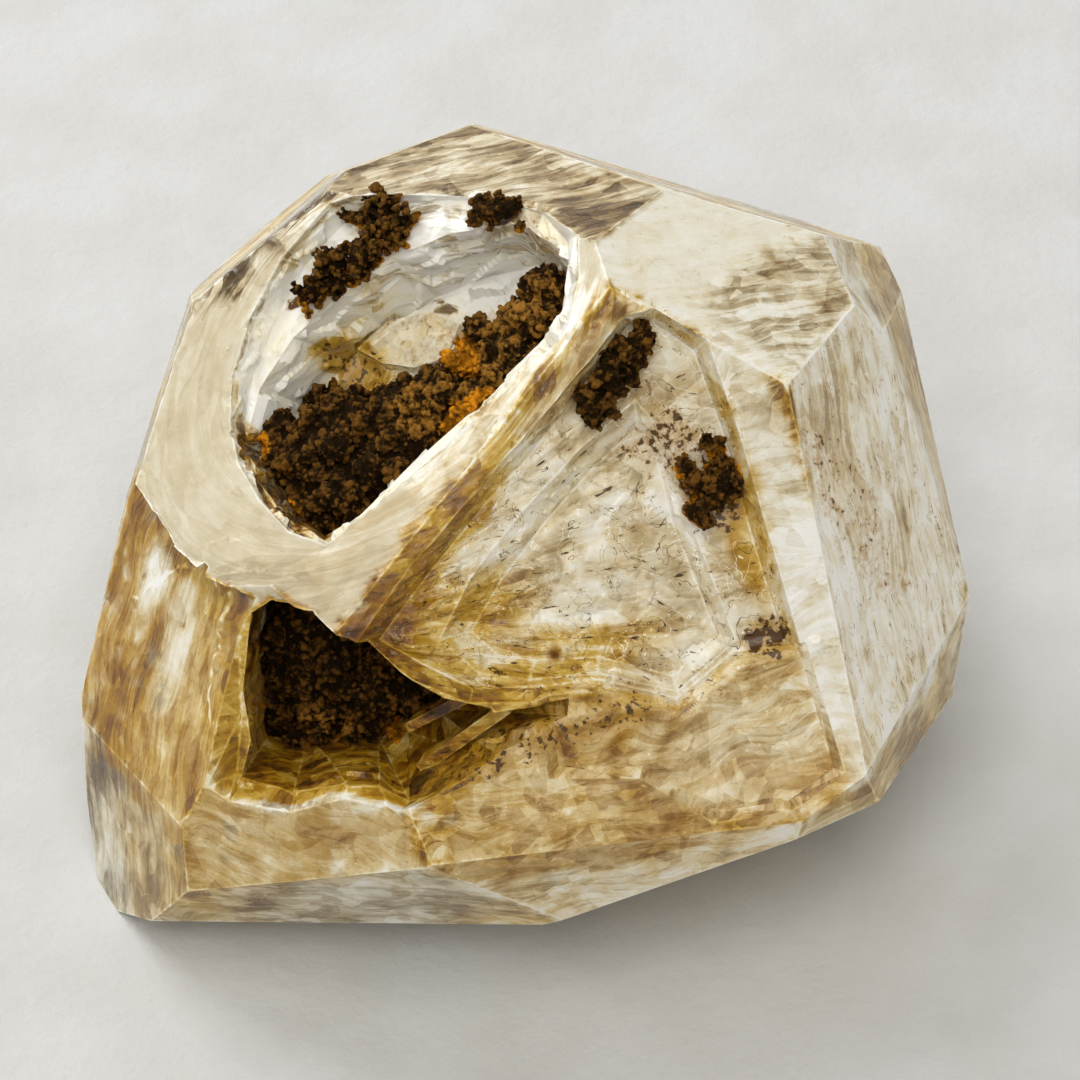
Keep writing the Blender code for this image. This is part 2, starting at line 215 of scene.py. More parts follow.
class Roughness:
    """Smooth and celled patterns on points, the same on each run.

    Args:
        seed: Picks the pattern.
    """

    def __init__(self, seed: int) -> None:
        """Draws the tables that every pattern reads."""
        draw = np.random.default_rng(seed)
        self.order = draw.permutation(256)
        self.height = draw.random(256) * 2.0 - 1.0
        self.shift = draw.random((256, 3))

    def key(self, cells: np.ndarray) -> np.ndarray:
        """Returns a table place for each whole-numbered cell."""
        x, y, z = (cells[:, axis] & 255 for axis in range(3))
        return self.order[(self.order[(self.order[x] + y) & 255] + z) & 255]

    def smooth(self, points: Points) -> Values:
        """Returns a soft pattern from -1 to 1, about one unit across."""
        base = np.floor(points)
        part = points - base
        part = part * part * (3.0 - 2.0 * part)
        cells = base.astype(np.int64)
        total = np.zeros(len(points))
        for corner in np.ndindex(2, 2, 2):
            step = np.array(corner)
            weight = np.prod(np.where(step, part, 1.0 - part), axis=1)
            total += weight * self.height[self.key(cells + step)]
        return total

    def layered(self, points: Points, layers: int = 3, fade: float = 0.5) -> Values:
        """Returns the soft pattern with finer layers added, each twice as fine."""
        total, size = np.zeros(len(points)), 1.0
        for layer in range(layers):
            total += size * self.smooth(points * 2.0**layer + 17.3 * layer)
            size *= fade
        return total

    def wander(self, points: Points, shifts: Sequence[float], layers: int, fade: float) -> Points:
        """Returns three layered patterns as rows, one for each shift."""
        return columns(*(self.layered(points + shift, layers, fade) for shift in shifts))

    def cells(self, points: Points) -> tuple[np.ndarray, Points]:
        """Finds the nearest scattered seed of each point.

        Args:
            points: Places, in units of about one cell.

        Returns:
            The seed's table place and the way from the seed to the point.
        """
        base = np.floor(points).astype(np.int64)
        nearest = np.full(len(points), 1e9)
        which = np.zeros(len(points), np.int64)
        away = np.zeros_like(points)
        for corner in np.ndindex(3, 3, 3):
            cell = base + np.array(corner) - 1
            key = self.key(cell)
            way = points - (cell + self.shift[key])
            reach = np.linalg.norm(way, axis=1)
            closer = reach < nearest
            nearest[closer], which[closer], away[closer] = reach[closer], key[closer], way[closer]
        return which, away

    def facets(self, points: Points) -> Values:
        """Returns a pattern of small flat facets, each tilted its own way, from about -1 to 1."""
        which, away = self.cells(points)
        tilt = self.shift[which] * 2.0 - 1.0
        return np.sum(tilt * away, axis=1) + 0.6 * self.height[which]


# ----- Node graphs -----


class Wire:
    """An output socket that can be used in sums, which add Math nodes.

    Args:
        graph: The graph that the socket belongs to.
        socket: The output socket.
    """

    def __init__(self, graph: "Graph", socket: bpy.types.NodeSocket) -> None:
        """Keeps the socket and its graph."""
        self.graph = graph
        self.socket = socket

    def math(self, operation: str, first: Any, second: Any, limit: bool = False) -> "Wire":
        """Returns the result of one Math node."""
        settings = {"operation": operation, "use_clamp": limit}
        return self.graph.add("ShaderNodeMath", settings, {0: first, 1: second})

    def __add__(self, other: Any) -> "Wire":
        """Returns this plus other."""
        return self.math("ADD", self, other)

    def __radd__(self, other: Any) -> "Wire":
        """Returns other plus this."""
        return self.math("ADD", other, self)

    def __sub__(self, other: Any) -> "Wire":
        """Returns this minus other."""
        return self.math("SUBTRACT", self, other)

    def __rsub__(self, other: Any) -> "Wire":
        """Returns other minus this."""
        return self.math("SUBTRACT", other, self)

    def __mul__(self, other: Any) -> "Wire":
        """Returns this times other."""
        return self.math("MULTIPLY", self, other)

    def __rmul__(self, other: Any) -> "Wire":
        """Returns other times this."""
        return self.math("MULTIPLY", other, self)

    def limited(self) -> "Wire":
        """Returns this kept between 0 and 1."""
        return self.math("ADD", self, 0.0, limit=True)

    def rise(self, low: float, high: float) -> "Wire":
        """Returns 0 below low, 1 above high and a smooth rise between them."""
        settings = {"interpolation_type": "SMOOTHSTEP"}
        return self.graph.add("ShaderNodeMapRange", settings, {0: self, 1: low, 2: high})


class Graph:
    """A material's node tree.

    Args:
        name: The material's name.
    """

    def __init__(self, name: str) -> None:
        """Starts an empty tree with its output."""
        self.material = bpy.data.materials.new(name)
        self.material.use_nodes = True
        self.tree = self.material.node_tree
        self.tree.nodes.clear()
        self.output = self.tree.nodes.new("ShaderNodeOutputMaterial")

    def add(self, kind: str, settings: Mapping[str, Any], inputs: Mapping[Any, Any], out: Any = 0) -> Wire:
        """Adds one node.

        Args:
            kind: The node's type.
            settings: Its properties; "stops" fills a colour ramp.
            inputs: Values or wires by socket name or place.
            out: The output to return.

        Returns:
            The chosen output.
        """
        node = self.tree.nodes.new(kind)
        for key, value in settings.items():
            if key == "stops":
                self.fill_ramp(node.color_ramp, value)
            else:
                setattr(node, key, value)
        for key, value in inputs.items():
            if isinstance(value, Wire):
                self.tree.links.new(value.socket, node.inputs[key])
            else:
                node.inputs[key].default_value = value
        return Wire(self, node.outputs[out])

    @staticmethod
    def fill_ramp(ramp: bpy.types.ColorRamp, stops: Sequence[tuple[float, Sequence[float]]]) -> None:
        """Puts the stops, each (place, colour), into a ramp that holds two."""
        for place, _ in stops[1:-1]:
            ramp.elements.new(place)
        for element, (place, colour) in zip(ramp.elements, stops):
            element.position = place
            element.color = (*colour, 1.0)

    def attribute(self, name: str, vector: bool = False) -> Wire:
        """Returns a piece's own attribute, as a value or a vector."""
        settings = {"attribute_name": name}
        return self.add("ShaderNodeAttribute", settings, {}, "Vector" if vector else "Fac")

    def place(self, scale: Sequence[float], source: Wire | None = None) -> Wire:
        """Returns Object coordinates, or the given vector, stretched by scale."""
        vector = source or self.add("ShaderNodeTexCoord", {}, {}, "Object")
        return self.add("ShaderNodeMapping", {}, {"Vector": vector, "Scale": scale})

    def noise(self, vector: Wire, detail: float = 3.0, rough: float = 0.55, warp: float = 0.0) -> Wire:
        """Returns a noise value with about one feature per unit."""
        inputs = {"Vector": vector, "Scale": 1.0, "Detail": detail, "Roughness": rough, "Distortion": warp}
        return self.add("ShaderNodeTexNoise", {}, inputs)

    def lines(self, value: Wire, width: float) -> Wire:
        """Returns thin winding lines, 1 on a line, where a noise value passes its middle."""
        away = self.add("ShaderNodeMath", {"operation": "ABSOLUTE"}, {0: value - 0.5})
        return 1.0 - away.rise(0.0, width)

    def shards(self, vector: Wire, warp: float) -> Wire:
        """Returns one value for each of many sharp-edged cells of about one unit.

        Args:
            vector: Where the pattern is read.
            warp: How far the cells' edges wander.
        """
        shift = self.add("ShaderNodeTexNoise", {}, {"Vector": vector, "Scale": 0.8, "Detail": 1.0}, "Color")
        moved = self.add("ShaderNodeVectorMath", {"operation": "MULTIPLY_ADD"},
                         {0: shift, 1: (warp, warp, warp), 2: vector})
        cells = self.add("ShaderNodeTexVoronoi", {}, {"Vector": moved, "Scale": 1.0}, "Color")
        return self.add("ShaderNodeSeparateColor", {}, {0: cells})

    def ramp(self, value: Wire, stops: Sequence[tuple[float, Sequence[float]]]) -> Wire:
        """Returns the colour of a value on a ramp."""
        return self.add("ShaderNodeValToRGB", {"stops": stops}, {0: value})

    def blend(self, share: Any, under: Any, over: Any) -> Wire:
        """Returns two colours mixed by share."""
        under, over = (c if isinstance(c, Wire) else (*c, 1.0) for c in (under, over))
        settings = {"data_type": "RGBA"}
        return self.add("ShaderNodeMix", settings, {0: share, 6: under, 7: over}, 2)

    def bump(self, height: Wire, reach: float, strength: float) -> Wire:
        """Returns normals raised by height over a reach in metres."""
        inputs = {"Strength": strength, "Distance": reach, "Height": height}
        return self.add("ShaderNodeBump", {}, inputs)

    def finish(self, surface: Wire, volume: Wire | None = None) -> bpy.types.Material:
        """Links the output and returns the material."""
        self.tree.links.new(surface.socket, self.output.inputs["Surface"])
        if volume is not None:
            self.tree.links.new(volume.socket, self.output.inputs["Volume"])
        return self.material


# ----- Finishes -----


class Channel(Enum):
    """What the crystal's surface keeps at each point."""

    CLOUD = "cloud"
    TONE = "tone"
    GOLD = "gold"
    STAIN = "stain"
    BUSY = "busy"
    HAIR = "hair"
    FOLD = "fold"
    BLOTCH = "blotch"
    DARK = "dark_line"
    PALE = "pale_line"


@dataclass(frozen=True)
class QuartzFinish:
    """Clear quartz under frosted, streaked and iron-stained zones."""

    refraction: float = 1.544
    absorb_colour: Triple = (0.99, 0.86, 0.48)
    absorb_density: float = 50.0
    plain: tuple[tuple[float, Triple], ...] = (
        (0.0, (0.07, 0.042, 0.016)),
        (0.25, (0.31, 0.235, 0.125)),
        (0.5, (0.60, 0.52, 0.345)),
        (0.75, (0.84, 0.81, 0.68)),
        (1.0, (1.0, 1.0, 0.97)),
    )
    golden: tuple[tuple[float, Triple], ...] = (
        (0.0, (0.04, 0.013, 0.0)),
        (0.25, (0.22, 0.078, 0.001)),
        (0.5, (0.47, 0.25, 0.008)),
        (0.75, (0.74, 0.51, 0.10)),
        (1.0, (0.97, 0.90, 0.66)),
    )
    earth: Triple = (0.085, 0.034, 0.002)
    ochre: Triple = (0.50, 0.27, 0.02)
    glass: Triple = (1.0, 0.99, 0.96)
    streak_scale: Triple = (0.2, 2.6, 1.3)
    dash_scale: Triple = (1.1, 7.5, 4.0)
    plate_scale: Triple = (0.2, 0.42, 0.3)
    flake_scale: Triple = (0.75, 1.7, 1.2)
    wisp_scale: Triple = (0.6, 1.3, 0.9)
    veil_scale: Triple = (900.0, 900.0, 900.0)
    speck_scale: Triple = (3000.0, 3000.0, 3000.0)
    bump_reach: float = 0.0004
    bump_strength: float = 0.35

    def build(self) -> bpy.types.Material:
        """Returns the quartz material."""
        g = Graph("quartz")
        grain = g.attribute("grain", vector=True)
        held = [g.attribute(channel.value) for channel in Channel]
        cloud, tone, gold, stain, busy, hair, fold, blotch, dark, pale = held
        streak = g.noise(g.place(self.streak_scale, grain), 4.0, 0.62, 0.5)
        dash = g.noise(g.place(self.dash_scale, grain), 2.0, 0.5)
        veil = g.noise(g.place(self.veil_scale), 4.0, 0.65, 0.9)
        speck = g.noise(g.place(self.speck_scale), 3.0, 0.6)
        plate = g.shards(g.place(self.plate_scale, grain), 0.5)
        flake = g.shards(g.place(self.flake_scale, grain), 0.45)
        wisp = g.noise(g.place(self.wisp_scale, grain), 3.0, 0.55, 1.0)

        # Lines: the chipped edges along the folds, frosted and brightened with a painted highlight, the strip
        # beside them with a faint painted sheen, and the drawn dark and pale lines.
        broken = (veil * 1.6 - 0.35).limited()
        # edge is a painted highlight along each fold; the share below also makes it frosted.
        edge = (1.0 - fold.rise(0.03, 0.11)) * broken
        fold_sheen = (1.0 - fold.rise(0.05, 0.55)) * broken
        outline = (1.0 - dark.rise(0.03, 0.10)) * broken
        bright = (1.0 - pale.rise(0.05, 0.13)) * broken

        # Tone: how light the surface is, from its area's tone and the streaks, flakes, veils and lines, with
        # painted glints and the painted highlight and sheen along the folds.
        sliver = streak.rise(0.40, 0.60) - 0.5
        glint = speck.rise(0.66, 0.72)
        lively = busy + 0.12
        play = blotch * 0.16 + sliver * 0.2 + (plate - 0.5) * 0.36 + (flake - 0.5) * 0.42
        play = play + (veil - 0.5) * 0.7 + (speck - 0.5) * 0.3
        value = tone + lively * play - dash.rise(0.66, 0.74) * hair * 0.5
        seam = g.lines(streak + 0.05, 0.010)
        value = value + g.lines(streak - 0.05, 0.008) * busy * 0.3 - seam * busy * 0.3
        value = value + g.lines(wisp, 0.006) * hair * 0.4 - g.lines(wisp + 0.07, 0.006) * hair * 0.7
        value = value + edge * 0.45 + fold_sheen * 0.08 + glint * busy * 0.45 + bright * 0.8 - outline * 0.7
        value = value.limited()

        # Colour: grey-cream or golden, with ochre halos and earthy specks where it is stained.
        cast = (0.5 - plate) * 0.35 - sliver * 0.35 - blotch * 0.2 + (0.5 - veil)
        warm = (gold + lively * cast).limited()
        colour = g.blend(warm, g.ramp(value, self.plain), g.ramp(value, self.golden))
        halo = (speck * 0.4 + veil * 0.6 + stain * 0.5).rise(0.66, 0.86)
        dusty = (speck * 0.7 + veil * 0.3 + stain * 0.5).rise(0.83, 0.86)
        colour = g.blend(halo * 0.7, colour, self.ochre)
        colour = g.blend(dusty, colour, self.earth)

        # Frosted and clear surfaces, mixed by how cloudy the place is, round clear absorbing quartz.
        normal = g.bump((streak + flake * 0.5) * lively, self.bump_reach, self.bump_strength)
        frosted = g.add(
            "ShaderNodeBsdfPrincipled", {},
            {"Base Color": colour, "Roughness": 0.28 + 0.2 * speck, "IOR": self.refraction,
             "Transmission Weight": 0.2, "Normal": normal},
        )
        clear = g.add(
            "ShaderNodeBsdfPrincipled", {},
            {"Base Color": g.blend(0.5, self.glass, colour), "Roughness": 0.01 + 0.05 * speck,
             "IOR": self.refraction, "Transmission Weight": 1.0, "Normal": normal},
        )
        cover = blotch * 0.2 + sliver * 0.55 + (plate - 0.5) * 0.6 + (flake - 0.5) * 0.5
        cover = cover + (veil - 0.5) * 0.6
        share = cloud + busy * cover + dusty + edge * 0.5 + outline + bright + seam * busy * 0.4
        surface = g.add("ShaderNodeMixShader", {}, {0: share.rise(0.08, 0.92), 1: clear, 2: frosted})
        inside = g.add(
            "ShaderNodeVolumeAbsorption", {},
            {"Color": (*self.absorb_colour, 1.0), "Density": self.absorb_density},
        )
        return g.finish(surface, inside)


@dataclass(frozen=True)
class CrustFinish:
    """Dry earthy crust: near-black in the crevices, a painted shade that follows the skin's low places, brown
    on the grains with a painted tan highlight on their crowns, and ochre at thin edges.
    """

    name: str = "earthy_crust"
    black: Triple = (0.012, 0.006, 0.001)
    brown: Triple = (0.10, 0.043, 0.006)
    tan_highlight: Triple = (0.29, 0.135, 0.02)
    orange: Triple = (0.70, 0.26, 0.006)
    grit_scale: Triple = (6500.0, 6500.0, 6500.0)
    patch_scale: Triple = (800.0, 800.0, 800.0)

    def build(self) -> bpy.types.Material:
        """Returns the crust material."""
        g = Graph(self.name)
        height, ochre, light = (g.attribute(name) for name in ("height", "ochre", "light"))
        grit = g.noise(g.place(self.grit_scale), 4.0, 0.7)
        patch = g.noise(g.place(self.patch_scale), 3.0, 0.6)
        # Painted shade: near black where the skin lies low in its crevices, brown where it stands up, with
        # grit and patches mixed in.
        top = (height + (grit - 0.5) * 1.3 + (patch - 0.5) * 1.1).rise(0.36, 1.1)
        colour = g.blend(top, self.black, self.brown)
        # Painted highlight: tan on the grains' crowns, stronger at the crust's light spots.
        crown_highlight = (height + (grit - 0.5) * 1.8 + (patch - 0.5) * 0.9 + light * 0.35).rise(0.5, 1.5)
        colour = g.blend(crown_highlight * (0.35 + light * 0.65), colour, self.tan_highlight)
        tinge = (ochre + (grit - 0.5) * 1.2 + (patch - 0.5) * 1.6).rise(0.35, 0.9)
        colour = g.blend(tinge * (0.35 + top * 0.65), colour, self.orange)
        crust = g.add(
            "ShaderNodeBsdfPrincipled", {},
            {"Base Color": colour, "Roughness": 0.8 + 0.2 * grit, "Specular IOR Level": 0.08,
             "Normal": g.bump(grit, 0.0001, 0.7)},
        )
        return g.finish(crust)


@dataclass(frozen=True)
class PaperFinish:
    """Plain white paper with a fine tooth."""

    light: Triple = (0.55, 0.555, 0.56)
    shade: Triple = (0.518, 0.517, 0.512)
    tooth_scale: Triple = (1100.0, 1100.0, 1100.0)
    broad_scale: Triple = (160.0, 160.0, 160.0)

    def build(self) -> bpy.types.Material:
        """Returns the paper material."""
        g = Graph("paper")
        tooth = g.noise(g.place(self.tooth_scale), 4.0, 0.6)
        broad = g.noise(g.place(self.broad_scale), 2.0, 0.5)
        colour = g.blend(broad.rise(0.3, 0.7), self.light, self.shade)
        paper = g.add(
            "ShaderNodeBsdfPrincipled", {},
            {"Base Color": colour, "Roughness": 0.9 + 0.08 * tooth, "Specular IOR Level": 0.2,
             "Normal": g.bump(tooth + broad * 1.4, 0.0006, 0.22)},
        )
        return g.finish(paper)


# ----- Handling meshes -----


def only(piece: bpy.types.Object) -> None:
    """Selects one object alone and makes it active."""
    bpy.ops.object.select_all(action="DESELECT")
    piece.hide_set(False)
    piece.select_set(True)
    bpy.context.view_layer.objects.active = piece


def copied(node: str, name: str) -> bpy.types.Object:
    """Returns a new piece with a merged copy of a solid's mesh."""
    piece = bpy.data.objects.new(name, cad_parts[node].data.copy())
    piece.data.name = name
    piece.data.materials.clear()
    bpy.context.scene.collection.objects.link(piece)
    only(piece)
    bpy.ops.object.mode_set(mode="EDIT")
    bpy.ops.mesh.select_all(action="SELECT")
    bpy.ops.mesh.remove_doubles(threshold=1e-7)
    bpy.ops.mesh.customdata_custom_splitnormals_clear()
    bpy.ops.object.mode_set(mode="OBJECT")
    return piece


def read(piece: bpy.types.Object, what: str = "co") -> Points:
    """Returns the piece's points, in millimetres, or their normals."""
    mesh = piece.data
    flat = np.empty(len(mesh.vertices) * 3)
    if what == "co":
        mesh.vertices.foreach_get("co", flat)
        return flat.reshape(-1, 3) / MM
    mesh.vertex_normals.foreach_get("vector", flat)
    return flat.reshape(-1, 3)


def write(piece: bpy.types.Object, points: Points) -> None:
    """Moves the piece's points to places given in millimetres."""
    piece.data.vertices.foreach_set("co", (points * MM).astype(np.float32).ravel())
    piece.data.update()


def keep_values(piece: bpy.types.Object, name: str, values: Values) -> None:
    """Stores one value per point for the piece's material."""
    held = piece.data.attributes.new(name, "FLOAT", "POINT")
    held.data.foreach_set("value", values.astype(np.float32))


def finish_piece(piece: bpy.types.Object, node: str, material: bpy.types.Material) -> None:
    """Dresses a piece, puts it on the crystal's body in place of its solid, and reports it."""
    piece.data.materials.append(material)
    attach(piece, "root")
    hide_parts(node)
    LOG.info("%s: %d points, %d faces", piece.name, len(piece.data.vertices), len(piece.data.polygons))


# ----- The quartz -----

SHELF = (
    (-1.1, -6.2), (-2.9, -6.9), (-5.1, -6.8), (-7.2, -6.3), (-9.0, -5.2), (-10.6, -3.6), (-11.9, -1.3),
    (-12.8, 1.5), (-12.9, 4.7), (-11.4, 6.7), (-9.2, 8.6), (-6.6, 10.4), (-4.4, 11.2), (-2.3, 10.9),
    (-0.6, 9.4), (0.5, 7.6), (0.6, 5.3), (0.4, 3.1), (0.1, 0.6), (-0.3, -1.9), (-0.7, -4.2),
)
RECESS = (
    (-10.3, -1.5), (-7.2, 1.4), (-4.0, 4.0), (-0.9, 6.3), (1.9, 8.6), (3.5, 10.1), (5.0, 10.3), (7.0, 8.5),
    (7.7, 4.4), (8.3, -0.5), (8.9, -5.6), (6.1, -5.7), (3.2, -7.4), (-0.2, -5.6), (-2.8, -5.4),
    (-5.8, -4.9), (-8.3, -3.2),
)
EVERYWHERE = ((-40.0, -40.0), (40.0, -40.0), (40.0, 40.0), (-40.0, 40.0))


def look(cloud: float, tone: float, gold: float, busy: float) -> dict[Channel, float]:
    """Returns the four values that set how a zone looks."""
    return {Channel.CLOUD: cloud, Channel.TONE: tone, Channel.GOLD: gold, Channel.BUSY: busy}


# The lowest and highest level, in millimetres, of what each area takes in.
LEFT_LEVELS = (14.5, 15.0)
RIM_LEVELS = (11.0, 12.0)
HOLLOW_LEVELS = (2.0, 11.2)
RIDGE_LEVELS = (8.5, 12.0)
SHELF_LEVELS = (9.0, 12.0)
PLATE_LEVELS = (6.9, 8.0)
TOP_LEVELS = (14.2, 15.0)
RIGHT_LEVELS = (13.8, 14.5)
TERRACE_LEVELS = (8.5, 10.0)
SUNK_LEVELS = (7.4, 10.0)
LEDGE_LEVELS = (7.4, 9.45)

TERRACE = ((-4.0, -5.4), (9.6, -5.2), (10.4, -12.8), (-8.0, -12.4))
WINDOW = (
    (-6.6, -2.1), (-4.9, 0.3), (-2.2, 2.7), (0.9, 5.0), (3.8, 6.7), (5.1, 4.4), (5.4, 1.2), (6.6, -4.8),
    (3.4, -6.7), (0.1, -5.1), (-3.0, -4.8), (-5.2, -4.1),
)
LENS = ((-9.5, 0.7), (-9.3, 2.6), (-8.0, 4.4), (-6.2, 4.9), (-5.3, 3.2), (-6.4, 1.7), (-7.9, 0.9))
POCKET = (
    (-11.0, 0.5), (0.6, -1.6), (15.2, 1.8), (5.2, -4.6), (0.8, -8.1), (-4.5, -9.9), (-8.0, -10.6),
    (-10.6, -4.0),
)
HOLLOW = Zone(UPPER, SHELF, *HOLLOW_LEVELS, 0.2)
STEPPED = Zone(FRONT, TERRACE, 8.9, 10.0, 0.4)

